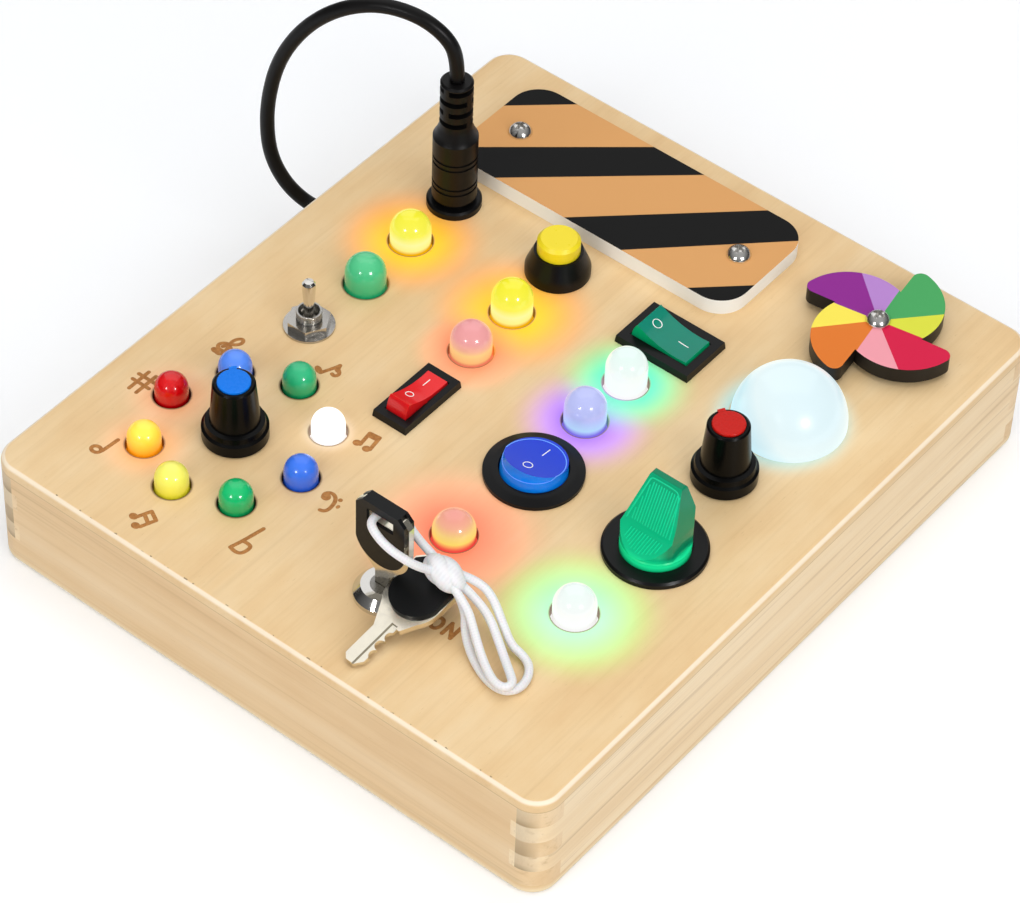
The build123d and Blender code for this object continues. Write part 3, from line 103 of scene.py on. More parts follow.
def start_finish(name, **sockets):
    """A new material: the material, its node tree and its surface shader."""
    material = bpy.data.materials.new(name)
    material.use_nodes = True
    tree = material.node_tree
    surface = tree.nodes["Principled BSDF"]
    fill(tree, surface, {key.replace("_", " "): value for key, value in sockets.items()})
    return material, tree, surface


def here(tree, kind="Object"):
    """The shaded point's place on its object or, with "Normal", the way its face looks."""
    return add_node(tree, "TexCoord", {})[kind]


def xyz(tree, vector):
    """The X, Y and Z of a vector, by name."""
    return add_node(tree, "SeparateXYZ", {"Vector": vector})


def maths(tree, operation, *values):
    """The result of one operation on numbers."""
    return add_node(tree, "Math", dict(enumerate(values)), operation=operation)[0]


def vector_maths(tree, operation, *values):
    """The result of one operation on vectors."""
    result = "Value" if operation in ("DISTANCE", "DOT_PRODUCT") else "Vector"
    return add_node(tree, "VectorMath", dict(enumerate(values)), operation=operation)[result]


def remap(tree, value, low, high, start=0.0, end=1.0, **settings):
    """Goes from start to end while the value goes from low to high, and stays there beyond."""
    return add_node(tree, "MapRange", {"Value": value, "From Min": low, "From Max": high,
                                       "To Min": start, "To Max": end}, **settings)["Result"]


def step_at(tree, value, edge, soft=0.05 * mm):
    """0 below an edge and 1 above it, over a short soft step."""
    return remap(tree, value, edge - soft, edge + soft)


def times(tree, *values):
    """The product of several values."""
    product = values[0]
    for value in values[1:]:
        product = maths(tree, "MULTIPLY", product, value)
    return product


def mix(tree, share, under, over, blend="MIX"):
    """One colour laid over another by a share."""
    return add_node(tree, "MixRGB", {"Fac": share, "Color1": under, "Color2": over},
                    blend_type=blend)["Color"]


def ramp(tree, share, stops, interpolation="LINEAR"):
    """The colour at a share of the way along (place, sRGB hex colour) stops."""
    colour = add_node(tree, "ValToRGB", {"Fac": share})["Color"]
    scale = colour.node.color_ramp
    scale.interpolation = interpolation
    while len(scale.elements) < len(stops):
        scale.elements.new(0.5)
    for element, (place, code) in zip(scale.elements, stops):
        element.position = place
        element.color = linear(code)
    return colour


def relief(tree, height, strength, distance=0.1 * mm):
    """The normal of a fine relief."""
    return add_node(tree, "Bump", {"Height": height, "Strength": strength,
                                   "Distance": distance})["Normal"]


def dress(finish, *names):
    """Puts a finish on CAD nodes and rounds the shading of their curved faces."""
    for name in names:
        piece = nodes[name]
        piece.data.materials.clear()
        piece.data.materials.append(finish)
        piece.data.polygons.foreach_set("use_smooth", [True] * len(piece.data.polygons))
        weld = piece.modifiers.new("weld", "WELD")
        weld.merge_threshold = 1e-6
        split = piece.modifiers.new("split", "EDGE_SPLIT")
        split.split_angle = math.radians(28)


def stretched_noise(tree, along, width, length, offset, detail=3.0):
    """Noise in cells of one width, drawn out to a length along one axis."""
    scale = [1 / width] * 3
    scale[along] = 1 / length
    place = add_node(tree, "Mapping", {"Vector": here(tree), "Scale": scale,
                                       "Location": (offset,) * 3})["Vector"]
    return add_node(tree, "TexNoise", {"Vector": place, "Scale": 1.0, "Detail": detail,
                                       "Roughness": 0.55})["Fac"]


def grain_colour(tree, along, stops, mottle, streaks):
    """Wood colour: broad bands, a soft mottle, dark streaks, fine fibres and short pores."""
    bands = stretched_noise(tree, along, 9 * mm, 210 * mm, 0.0)
    cloud = stretched_noise(tree, along, 9 * mm, 22 * mm, 3.0, 5.0)
    streak = stretched_noise(tree, along, 1.6 * mm, 130 * mm, 9.0)
    fibre = stretched_noise(tree, along, 0.8 * mm, 34 * mm, 5.0)
    pore = stretched_noise(tree, along, 0.28 * mm, 2.6 * mm, 7.0)
    colour = ramp(tree, mix(tree, mottle, bands, cloud), stops)
    for noise, low, high, depth, code in ((streak, 0.56, 0.72, streaks, "B58E5C"),
                                          (fibre, 0.5, 0.8, 0.12, "B08850"),
                                          (pore, 0.68, 0.78, 0.3, "9A7444")):
        colour = mix(tree, remap(tree, noise, low, high, 0.0, depth), colour, code)
    return colour, fibre


def board_finish(name, along, stops, mottle, streaks):
    """Lacquered solid birch: grain along one axis, finger ends near the corners."""
    finish, tree, surface = start_finish(name, Roughness=wood_roughness)
    colour, fibre = grain_colour(tree, along, stops, mottle, streaks)
    place = xyz(tree, here(tree))
    # The finger ends' end-grain tone, with painted shade above each glue line.
    end_grain_and_shade = ramp(tree, remap(tree, place["Z"], 0.0, lid_top),
                [(height * mm / lid_top, code) for height, code in finger_tones_and_shade])
    speck = stretched_noise(tree, 2, 0.5 * mm, 1.2 * mm, 2.0)
    end_grain_and_shade = mix(tree, times(tree, speck, 0.3), end_grain_and_shade, "A08664")
    away = maths(tree, "ABSOLUTE", place["X"])
    turn = maths(tree, "ABSOLUTE", xyz(tree, here(tree, "Normal"))["Y"])
    ends = times(tree, step_at(tree, away, half_across - wall), step_at(tree, turn, 0.8, 0.16),
                 step_at(tree, place["Z"], finger_low + finger), 0.9)
    fill(tree, surface, {"Base Color": mix(tree, ends, colour, end_grain_and_shade),
                         "Normal": relief(tree, fibre, 0.12)})
    return finish


dress(board_finish("lacquered_birch_across", 0, (
    (0.32, "DBB583"), (0.5, "E5C495"), (0.7, "EBCFA6")), 0.25, 0.3), "front_wall", "rear_wall")
dress(board_finish("lacquered_birch_along", 1, (
    (0.32, "E3C395"), (0.5, "EED3A9"), (0.7, "F4DFBC")), 0.15, 0.6), "left_wall", "right_wall")

# ---------------------------------------------------------- lid and base
# Birch plywood sheets glued on the frame, their outer edge rounded so that the
# paler inner ply shows, with a painted highlight on the rounding. The light of
# the lamps spreads over the lid around them, and the drilled holes have edges
# browned by the cutter and darkened with painted shade.
rounding = 3 * mm
glue_line = 28.25 * mm
base_thickness = 3 * mm
ply_tones = ((0.3, "DEB884"), (0.5, "E5C492"), (0.7, "EBCFA2"))
ply_mottle = 0.6
ply_streaks = 0.1
ply_relief = 0.10

# Lamp holes in mm: the ring's centre, then the turn and reach of each of its
# lamps, and the one large lamp that isn't lit.
ring_lamp_radius = 4.0
ring_centre = (-41.5, -52.2)
ring_drilling = ((-0.6, 19.7), (44.6, 21.0), (89.2, 21.6), (132.0, 20.2),
                 (179.1, 20.0), (226.8, 20.9), (267.5, 20.8), (311.5, 20.6))
unlit_holes = ((-51.4, 5.0, 5.0),)

# Lit lamps: place in mm, lens radius, reach of the light, near and far colour, peak.
# First the large lamps, then three of the ring and the dome.
large_glows = (
    (-52.7, 23.1, 5.0, 17.0, "FFC400", "FF9E3C", 0.90),
    (-19.0, 19.8, 5.0, 19.0, "FFC400", "FF9E3C", 0.90),
    (-18.2, 3.7, 5.0, 11.0, "FF7F5C", "FFA070", 0.70),
    (15.9, 3.2, 5.0, 14.0, "A86BFF", "D59BF0", 0.80),
    (15.5, -43.5, 5.0, 21.0, "FF7458", "FFA47C", 0.78),
    (15.6, 18.9, 5.0, 14.0, "35EFC0", "8FEF9A", 0.85),
    (50.4, -44.3, 5.0, 18.0, "A8F7C4", "B2F57A", 0.85),
)
other_glows = (
    (-26.5, -37.4, 4.0, 4.0, "FFFFFF", "FFF3E0", 0.15),
    (-55.8, -67.4, 4.0, 10.0, "FFA860", "FFBE90", 0.38),
    (-61.5, -51.9, 4.0, 10.0, "FF9A68", "FFBC96", 0.28),
    (50.4, 32.7, 12.0, 7.5, "7FE6F5", "BDEBEA", 0.42),
)
ring_holes = tuple(
    (ring_centre[0] + reach * math.cos(math.radians(turn)),
     ring_centre[1] + reach * math.sin(math.radians(turn)), ring_lamp_radius)
    for turn, reach in ring_drilling
)
# Past the lens, in mm: the hole's edge, the end of its browned rim with painted
# shade and the start of the light, with half the width over which the light starts.
hole_edge = 0.5
browned_and_shaded_rim_end = 0.95
light_start = 0.7
light_soft = 0.25


def distance_to(tree, plan, x, y):
    """Distance in the plan from a vertical axis at x, y in mm."""
    return vector_maths(tree, "DISTANCE", plan, (x * mm, y * mm, 0))


lid, tree, surface = start_finish("lacquered_birch_ply", Roughness=wood_roughness)
colour, fibre = grain_colour(tree, 1, ply_tones, ply_mottle, ply_streaks)
plan = vector_maths(tree, "MULTIPLY", here(tree), (1, 1, 0))
# A dark brown ring at each hole's edge: the cutter's browning and painted shade falling into the
# hole.
for x, y, radius in unlit_holes + ring_holes + tuple(glow[:3] for glow in large_glows):
    rim = remap(tree, distance_to(tree, plan, x, y), (radius + hole_edge) * mm,
                (radius + browned_and_shaded_rim_end) * mm, 0.85, 0.0)
    colour = mix(tree, rim, colour, "5A3514")
light = None
for x, y, radius, reach, near, far, peak in large_glows + other_glows:
    away = distance_to(tree, plan, x, y)
    span = (away, radius * mm, (radius + reach) * mm)
    fall = remap(tree, *span, 1.0, 0.0, interpolation_type="SMOOTHERSTEP")
    start = step_at(tree, away, (radius + light_start) * mm, light_soft * mm)
    weight = times(tree, fall, start, peak)
    tint = ramp(tree, remap(tree, *span), ((0.05, near), (0.6, far)))
    colour = mix(tree, weight, colour, tint)
    glow = mix(tree, weight, "000000", tint)
    light = glow if light is None else mix(tree, 1.0, light, glow, "LIGHTEN")

# The outer edge: a painted highlight on the rounding, pale as the inner ply that
# shows there, short dark burns along its start at the front, where the router bit
# rested, and the glue line under it.
lift = xyz(tree, here(tree, "Normal"))["Z"]
place = xyz(tree, here(tree))
outer = maths(tree, "MAXIMUM", *(
    maths(tree, "GREATER_THAN", maths(tree, "ABSOLUTE", place[axis]), half - rounding)
    for axis, half in (("X", half_across), ("Y", half_along))))
# Painted highlight: cream on the faces of the rounding that turn from the top towards the side.
edge_highlight = times(tree, remap(tree, lift, 0.98, 0.93), step_at(tree, lift, 0.52, 0.14), 0.7)
colour = mix(tree, times(tree, edge_highlight, outer), colour, "FDF0DC")
spots = stretched_noise(tree, 2, 1.7 * mm, 40 * mm, 4.0, 1.0)
front = maths(tree, "LESS_THAN", place["Y"], rounding - half_along)
burn = times(tree, step_at(tree, spots, 0.62, 0.02), outer, front,
             step_at(tree, lift, 0.955, 0.005), remap(tree, lift, 0.998, 0.99), 0.75)
colour = mix(tree, burn, colour, "5B3C1E")
glue = remap(tree, place["Z"], glue_line - 0.1 * mm, glue_line + 0.1 * mm, 1.0, 0.0)
colour = mix(tree, times(tree, glue, outer), colour, "C9A87A")
fill(tree, surface, {"Base Color": colour, "Emission Color": light, "Emission Strength": 0.30,
                     "Normal": relief(tree, fibre, ply_relief)})
dress(lid, "top_panel")

base, tree, surface = start_finish("lacquered_birch_ply_base", Roughness=wood_roughness)
colour, fibre = grain_colour(tree, 0, ply_tones, ply_mottle, ply_streaks)
plies = ramp(tree, remap(tree, xyz(tree, here(tree))["Z"], 0.0, base_thickness),
             ((0.0, "F3E0BC"), (0.5, "F3E0BC"), (0.75, "E7CA9C"), (1.0, "DDBB88")))
fill(tree, surface, {"Base Color": mix(tree, 0.7, colour, plies),
                     "Normal": relief(tree, fibre, ply_relief)})
dress(base, "bottom_panel")

# ------------------------------------------------------------ burnt-in marks
# Musical signs and the word ON, burnt into the lid by a laser as strokes of one
# width. Each stroke is a shallow round-ended bead that stands on the lid.
stroke = 0.5 * mm
burn_height = 0.04 * mm
bead_sides = 12
cap_turns = np.linspace(0, math.pi / 2, 5, endpoint=False)


def surface_mesh(grid, uv=None):
    """A closed skin over a (rows, columns, 3) grid of points, its doubles merged."""
    rows, columns = grid.shape[:2]
    index = np.arange(rows * columns).reshape(rows, columns)
    corners = (index[:-1, :-1], index[:-1, 1:], index[1:, 1:], index[1:, :-1])
    quads = np.stack(corners, -1).reshape(-1, 4)
    mesh = bpy.data.meshes.new("skin")
    mesh.from_pydata(grid.reshape(-1, 3).tolist(), [], quads.tolist())
    if uv is not None:
        layer = mesh.uv_layers.new(name="UVMap")
        layer.data.foreach_set("uv", uv.reshape(-1, 2)[quads.ravel()].ravel())
    skin = bmesh.new()
    skin.from_mesh(mesh)
    bmesh.ops.remove_doubles(skin, verts=skin.verts, dist=1e-7)
    bmesh.ops.dissolve_degenerate(skin, edges=skin.edges, dist=1e-8)
    bmesh.ops.recalc_face_normals(skin, faces=skin.faces)
    skin.to_mesh(mesh)
    skin.free()
    mesh.polygons.foreach_set("use_smooth", [True] * len(mesh.polygons))
    return mesh


def add_object(name, data):
    """A new object in the scene."""
    thing = bpy.data.objects.new(name, data)
    bpy.context.scene.collection.objects.link(thing)
    return thing


def place_piece(name, meshes, finish):
    """One object at the origin from several meshes."""
    whole = bmesh.new()
    for mesh in meshes:
        whole.from_mesh(mesh)
    joined = bpy.data.meshes.new(name)
    whole.to_mesh(joined)
    whole.free()
    joined.materials.append(finish)
    return add_object(name, joined)


def rounded(points, passes=3):
    """Corner cutting: each pass replaces a corner by points a quarter in from both sides."""
    line = np.array(points, float)
    for _ in range(passes):
        ahead = 0.75 * line[:-1] + 0.25 * line[1:]
        behind = 0.25 * line[:-1] + 0.75 * line[1:]
        middle = np.stack([ahead, behind], 1).reshape(-1, line.shape[1])
        line = np.concatenate([line[:1], middle[1:-1], line[-1:]])
    return line


def directions(line):
    """Unit vectors along a line, one at each of its points."""
    ahead = np.gradient(line, axis=0)
    return ahead / np.linalg.norm(ahead, axis=1, keepdims=True)


def held(values):
    """Values along a line, with the first and last repeated for the rings of the caps."""
    return np.pad(values, ((len(cap_turns), len(cap_turns)), (0, 0)), "edge")


def swept(path, side, rise, sides):
    """Rings along a capped path: centre + size * (side * cos(turn) + rise * sin(turn))."""
    caps = np.sin(cap_turns)
    size = np.concatenate([caps, np.ones(len(path) - 2 * len(caps)), caps[::-1]])
    turn = np.linspace(0, 2 * math.pi, sides + 1)[None, :, None]
    ring = side[:, None] * np.cos(turn) + rise[:, None] * np.sin(turn)
    return path[:, None] + ring * size[:, None, None]


def bead(line, half_width, half_height, up=(0, 0, 1)):
    """A round-ended bead of elliptical section along a line, its height measured along up."""
    ahead = directions(line)
    back = half_width * np.cos(cap_turns)[:, None]
    path = np.concatenate([line[0] - ahead[0] * back, line, (line[-1] + ahead[-1] * back)[::-1]])
    way = held(ahead)
    side = np.cross(np.array(up, float), way)
    side /= np.linalg.norm(side, axis=1, keepdims=True)
    rise = np.cross(way, side)
    return surface_mesh(swept(path, side * half_width, rise * half_height, bead_sides))


def over_lid(plan, height=0.0):
    """Points of the plan in mm, at a height above the lid in metres, as points in metres."""
    return np.column_stack([np.array(plan) * mm, np.full(len(plan), lid_top + height)])


def oval(x, y, half_width, half_height, tilt=0.0, count=28):
    """Points round an ellipse turned by tilt degrees."""
    turn = np.linspace(0, 2 * math.pi, count + 1)
    a, b = half_width * np.cos(turn), half_height * np.sin(turn)
    c, s = math.cos(math.radians(tilt)), math.sin(math.radians(tilt))
    return np.stack([x + a * c - b * s, y + a * s + b * c], 1)


def oval_pad(centre, x, y, half_width, half_height, tilt):
    """A filled low dome over an ellipse: rings shrink to a pole as the height rises."""
    rim = oval(0, 0, half_width, half_height, tilt)
    rings = ((0.0, -1.0), (1.0, -1.0), (1.0, 0.5), (0.85, 1.0), (0.0, 1.0))
    return surface_mesh(np.stack([over_lid(rim * share + np.add(centre, (x, y)), rise * burn_height)
                                  for share, rise in rings]))


sharp = [[(-1.3, 3.5), (-1.3, -3.2)], [(0.92, 3.5), (0.92, -3.2)],
         [(-2.7, 1.67), (2.4, 1.67)], [(-2.7, -0.47), (2.3, -0.47)]]
minim = [[(0.92, 3.3), (0.75, 0.8), (0.5, -1.6)]]
flat_sign = [[(1.4, 6.0), (0.35, 0.6), (-0.6, -2.9)],
             [(-0.5, -2.9), (0.9, -3.25), (2.4, -2.9), (2.95, -1.2), (2.8, 0.2), (1.6, 0.45),
              (0.4, 0.3)]]
two_quavers = [[(-1.1, 2.3), (-0.55, -1.8)], [(1.55, 2.6), (2.2, -1.6)],
               [(-1.1, 2.3), (1.55, 2.6)], [(-0.9, 1.5), (1.6, 1.75)]]
quaver = [[(-0.8, -1.8), (0.9, 2.0), (1.15, 2.9)],
          [(1.15, 2.9), (1.5, 1.7), (2.6, 1.0), (2.9, 0.1), (2.2, -0.7), (1.5, -0.4)],
          [(1.0, 2.0), (1.3, 1.3), (2.0, 1.1)]]
two_semiquavers = [[(-1.65, 0.0), (-0.3, 3.2)], [(0.85, -1.9), (2.3, 1.8)],
                   [(-0.3, 3.2), (2.3, 1.8)], [(-0.85, 1.45), (1.5, 0.05)]]
bass_clef = [[(-2.4, 0.0), (-2.9, 1.0), (-2.2, 2.1), (-0.8, 2.2), (0.4, 1.2), (0.95, -0.6),
              (1.0, -2.3), (0.4, -3.2), (-0.4, -3.4)]]
treble_clef = [[(-1.5, -3.5), (-0.3, -4.1), (0.6, -3.2), (0.3, -1.2), (-0.5, 0.9), (0.0, 2.6),
                (1.1, 3.4), (1.8, 2.4), (1.4, 1.2), (0.1, 0.2), (-1.7, -0.4), (-2.3, -1.7),
                (-1.4, -2.7), (0.3, -2.6), (1.3, -1.6), (0.7, -0.5), (-0.5, -0.6),
                (-1.0, -1.5)]]
word_on = [[(0.42, 1.7), (0.42, -2.0)], [(0.42, 1.6), (2.7, -1.9)], [(2.7, 1.8), (2.7, -2.0)]]

# Each mark: centre, its strokes, whether they are curved, and its round heads as
# (x, y, half width, half height, tilt, hollow).
marks = (
    ((-69.1, -53.4), sharp, False, ()),
    ((-62.1, -73.7), minim, True, ((-0.86, -2.03, 1.2, 0.95, 10, True),)),
    ((-19.4, -75.6), flat_sign, True, ()),
    ((-17.9, -34.0), two_quavers, False,
     ((-1.4, -1.9, 1.05, 0.95, 15, False), (1.45, -1.95, 1.05, 0.95, 15, False))),
    ((-39.4, -22.5), quaver, True, ((-1.8, -1.35, 1.35, 0.8, -28, False),)),
    ((-40.2, -85.0), two_semiquavers, False,
     ((-2.4, -0.5, 1.1, 0.95, 0, False), (-0.15, -2.3, 1.1, 0.95, 0, False))),
    ((-11.8, -53.7), bass_clef, True,
     ((-1.9, 0.5, 1.1, 1.1, 0, False), (1.2, 1.8, 0.55, 0.55, 0, False),
      (2.1, -0.1, 0.45, 0.6, 0, False))),
    ((-62.0, -31.1), treble_clef, True, ((-1.5, -3.5, 1.2, 0.85, 0, False),)),
    ((31.5, -65.6), word_on, False, ((-2.3, -0.35, 1.2, 1.7, 0, True),)),
)

burnt, tree, surface = start_finish("laser_burnt_birch", Roughness=0.7)
scorch = add_node(tree, "TexNoise", {"Vector": here(tree), "Scale": 1400.0, "Detail": 3.0})
fill(tree, surface, {
    "Base Color": ramp(tree, scorch["Fac"], ((0.3, "9A6128"), (0.7, "BB7F3E")))})
meshes = []
for centre, strokes, curved, heads in marks:
    outlines = [rounded(points) if curved else points for points in strokes]
    outlines += [oval(*head) for *head, hollow in heads if hollow]
    meshes += [bead(over_lid(np.add(outline, centre)), stroke, burn_height)
               for outline in outlines]
    meshes += [oval_pad(centre, *head) for *head, hollow in heads if not hollow]
engraving = place_piece("burnt_marks", meshes, burnt)
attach(engraving, "root")

# ------------------------------------------------- fasteners and inner parts
# Zinc-plated wood screws hold the base, and a moulded battery box, three cells,
# a green control board and its wires fill the case.


def plain_finish(name, code, roughness, spread, grain=900.0, **sockets):
    """A finish of one colour, its gloss slightly uneven: noise moves its roughness."""
    finish, tree, surface = start_finish(name, Base_Color=code, Roughness=roughness, **sockets)
    noise = add_node(tree, "TexNoise", {"Vector": here(tree), "Scale": grain, "Detail": 3.0})
    fill(tree, surface, {"Roughness": remap(tree, noise["Fac"], 0.3, 0.7, roughness - spread,
                                            roughness + spread)})
    return finish


dress(plain_finish("zinc_plated_steel", "B4B4B0", 0.35, 0.1, 1500.0, Metallic=1.0), "case_screws")
dress(plain_finish("moulded_abs_black", "0E0E0F", 0.45, 0.02, Specular_IOR_Level=0.2),
      "battery_box", "battery_cover", "dome_base")
dress(plain_finish("printed_cell_jacket", "3F4A52", 0.3, 0.05), "battery_cells")
dress(plain_finish("solder_mask_green", "1E6B3C", 0.3, 0.05), "control_board")
dress(plain_finish("pvc_wire_sheath", "9B2020", 0.45, 0.05), "wiring_loom")

# ----------------------------------------------------- sign plate and pinwheel
# A fibreboard plate with a printed face of tan and black hazard stripes over a
# white lacquered edge, and a printed four-blade pinwheel with dark cut edges.
# Both are held by button-head machine screws.

# Edges of the stripes from the far left corner on: turn in degrees and distance
# in mm from the frame's origin. Black lies beyond the first edge.
stripe_edges = ((42.3, 95.2), (40.7, 80.2), (41.8, 69.3), (43.5, 54.7), (44.8, 42.2),
                (43.7, 29.1))


def printed_face(tree, edge, print_colour):
    """A print on the faces that look up, over the colour of the edges."""
    top = remap(tree, xyz(tree, here(tree, "Normal"))["Z"], 0.5, 0.6)
    return mix(tree, top, edge, print_colour)


def around_axis(tree, x, y):
    """The X, Y and Z from a vertical axis at x, y in metres, and the turn about it."""
    spot = xyz(tree, vector_maths(tree, "SUBTRACT", here(tree), (x, y, 0)))
    return spot, maths(tree, "ARCTAN2", spot["Y"], spot["X"])


printed, tree, surface = start_finish("printed_lacquered_fibreboard", Roughness=0.5,
                                      Specular_IOR_Level=0.1)
black = 1.0
for order, (angle, distance) in enumerate(stripe_edges):
    angle = math.radians(angle)
    across = vector_maths(tree, "DOT_PRODUCT", here(tree), (-math.sin(angle), math.cos(angle), 0))
    black = maths(tree, "MULTIPLY_ADD", step_at(tree, across, distance * mm, 0.06 * mm),
                  1.0 if order % 2 == 0 else -1.0, black)
stripes = mix(tree, black, "DBA266", "131313")
fill(tree, surface, {"Base Color": printed_face(tree, "FCFBF7", stripes)})
dress(printed, "sign_plate")

dress(plain_finish("polished_steel", "E6E4E0", 0.2, 0.04, 1800.0, Metallic=1.0), "face_screws")

wheel_low, wheel_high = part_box("pinwheel")
wheel_centre = ((wheel_low + wheel_high) / 2).xy
# Colour of each sector by its angle about the hub, from -180 degrees.
sectors = ((-180, "8A1A8C"), (-171, "F8E552"), (-131, "E07722"), (-81, "F09CA8"),
           (-38, "D2003F"), (9, "D9DC3C"), (47, "43A35B"), (99, "B583CC"), (139, "8A1A8C"))
wheel, tree, surface = start_finish("printed_pinwheel_board", Roughness=0.45,
                                    Specular_IOR_Level=0.3)
spot, turn = around_axis(tree, *wheel_centre)
petals = ramp(tree, remap(tree, turn, -math.pi, math.pi),
              [((angle + 180) / 360, code) for angle, code in sectors], "CONSTANT")
fill(tree, surface, {"Base Color": printed_face(tree, "14100E", petals)})
dress(wheel, "pinwheel")
dress(plain_finish("turned_nylon", "E8E6E0", 0.45, 0.05), "pinwheel_spacer")

# ---------------------------------------------------------------------- lamps
# Round-nosed lamps of frosted, tinted plastic. Those that are lit glow from
# within, brightest low down where the light source sits. The green one is not
# lit: its faint glow and its lighter top are painted light.
lamp_height = 10.5 * mm
amber_height = 6.8 * mm
ring_lamp_height = 5.5 * mm


def lens_finish(name, stops, glow, height=lamp_height):
    """Frosted lens: colour by height, the same colour as its glow, under a glossy skin."""
    finish, tree, surface = start_finish(name, Roughness=0.22, Specular_IOR_Level=0.3,
                                         Coat_Weight=0.7, Coat_Roughness=0.06,
                                         Emission_Strength=glow)
    tint = ramp(tree, remap(tree, xyz(tree, here(tree))["Z"], lid_top, lid_top + height), stops)
    dim = (1 - glow) * 0.9
    fill(tree, surface, {"Base Color": mix(tree, 1.0, tint, (dim, dim, dim, 1), "MULTIPLY"),
                         "Emission Color": tint})
    return finish


dress(lens_finish("lit_yellow_lens", ((0.0, "FFB800"), (0.1, "FFF890"), (0.28, "FCFDA8"),
                                      (0.5, "FDF858"), (1.0, "FDF41E")), 0.85), "lamp_yellow")
# Not lit: the faint glow and the lighter top are painted light.
dress(lens_finish("frosted_green_lens_painted_light", ((0.0, "24B070"), (0.5, "4CCB8A"), (1.0, "62DA9A")), 0.3),
      "lamp_green")
dress(lens_finish("lit_pink_lens", ((0.0, "FF8A6A"), (0.08, "FFC47C"), (0.3, "FFD68C"),
                                    (0.43, "FCBA9C"), (0.6, "F7A8A6"), (1.0, "F5A2A6")), 0.7),
      "lamp_pink")
dress(lens_finish("lit_violet_lens", ((0.0, "8F7BFF"), (0.15, "B8E4FF"), (0.35, "B9D2FF"),
                                      (0.5, "BFC6FE"), (1.0, "C3CAFE")), 0.75), "lamp_violet")
dress(lens_finish("lit_amber_lens", ((0.0, "FF5048"), (0.12, "FF8C58"), (0.3, "FFE06C"),
                                     (0.55, "FFD880"), (0.8, "FCB694"), (1.0, "F8A294")), 0.85,
                  amber_height), "lamp_amber")
dress(lens_finish("lit_white_lens", ((0.0, "FFFFFF"), (0.4, "FDFFFD"), (1.0, "EAFFF8")), 0.95),
      "lamp_white")

# Ring lamps in the order of their holes: colour at the nose and at the foot, and glow.
# On the lamps that are not lit, the lighter nose and the faint glow are painted light.
ring_tints = (("3E7CF6", "2C66F0", "181818"), ("FFFFFF", "FFFFFF", "E8E8E8"),
              ("33BD82", "12A565", "181818"), ("5A92FF", "3574F4", "202020"),
              ("DC0810", "C2000A", "282828"), ("FFD84A", "FF9A12", "A0A0A0"),
              ("F6F06A", "E6DC2E", "606060"), ("14C272", "0BA35A", "181818"))
ring_share = 2 * math.pi / len(ring_tints)
ring_finish, tree, surface = start_finish(
    "frosted_ring_lenses", Roughness=0.22, Specular_IOR_Level=0.3, Coat_Weight=0.6,
    Coat_Roughness=0.06, Emission_Strength=1.0)
spot, turn = around_axis(tree, ring_centre[0] * mm, ring_centre[1] * mm)
# Half a lamp's share further, so that each lamp lies in the middle of its stop.
turned = maths(tree, "ADD", turn, ring_share / 2)
share = remap(tree, maths(tree, "FLOORED_MODULO", turned, 2 * math.pi), 0.0, 2 * math.pi)
nose_tint_and_painted_light, foot, lamp_and_painted_glow = (
    ramp(tree, share, [(lamp / len(codes), code) for lamp, code in enumerate(codes)], "CONSTANT")
    for codes in zip(*ring_tints))
tint = mix(tree, remap(tree, spot["Z"], lid_top, lid_top + ring_lamp_height), foot, nose_tint_and_painted_light)
fill(tree, surface, {"Base Color": tint,
                     "Emission Color": mix(tree, 1.0, tint, lamp_and_painted_glow, "MULTIPLY")})
dress(ring_finish, "ring_lamps")

# ----------------------------------------------------------------- dome light
# An opal acrylic dome over a white light source, snapped into the lid. It is
# brightest on the side of the source and cyan where the light leaves it low.
dome_low, dome_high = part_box("dome_lens")
dome_centre = (dome_low + dome_high) / 2
towards_cyan = (-0.62, -0.28, -0.73)
opal, tree, surface = start_finish("lit_opal_acrylic", Roughness=0.3, IOR=1.49, Coat_Weight=0.3,
                                   Coat_Roughness=0.12, Emission_Strength=0.88)
centred = vector_maths(tree, "SUBTRACT", here(tree), (dome_centre.x, dome_centre.y, lid_top))
lean = vector_maths(tree, "DOT_PRODUCT", centred, towards_cyan)
tint = ramp(tree, remap(tree, lean, -12 * mm, 11 * mm),
            ((0.0, "E4F8FD"), (0.4, "ECFDFF"), (0.66, "D0F4FF"), (0.84, "AEE8FF"),
             (1.0, "82D6FF")))
fill(tree, surface, {"Base Color": mix(tree, 1.0, tint, (0.1, 0.1, 0.1, 1), "MULTIPLY"),
                     "Emission Color": tint})
dress(opal, "dome_lens")

# -------------------------------------------------------------- toggle switch
# A nickel-plated bush with a flat nut and a serrated washer, and a polished
# tapered lever. The end of the bush above the nut shows its thread.
bush_place = (-52.3, -14.3)
bush_radius = 3.0
thread_heights = np.arange(3.2, 4.8, 0.5) * mm
dress(plain_finish("bright_nickel_plate", "DDDAD5", 0.09, 0.04, 1500.0, Metallic=1.0),
      "toggle_lever", "plug_barrel", "panel_nuts")
dress(plain_finish("nickel_plated_hardware", "B9B6B1", 0.16, 0.05, 1500.0, Metallic=1.0),
      "toggle_nut")
satin_plate = plain_finish("satin_nickel_plate", "B9B7B2", 0.3, 0.08, 1500.0, Metallic=1.0)
dress(satin_plate, "toggle_switch", "selector_switch", "dimmer_switch")
bush_rim = oval(*bush_place, bush_radius, bush_radius, count=48)
crests = [bead(over_lid(bush_rim, height), 0.09 * mm, 0.12 * mm) for height in thread_heights]
bush_thread = place_piece("toggle_bush_threads", crests, satin_plate)
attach(bush_thread, "root")

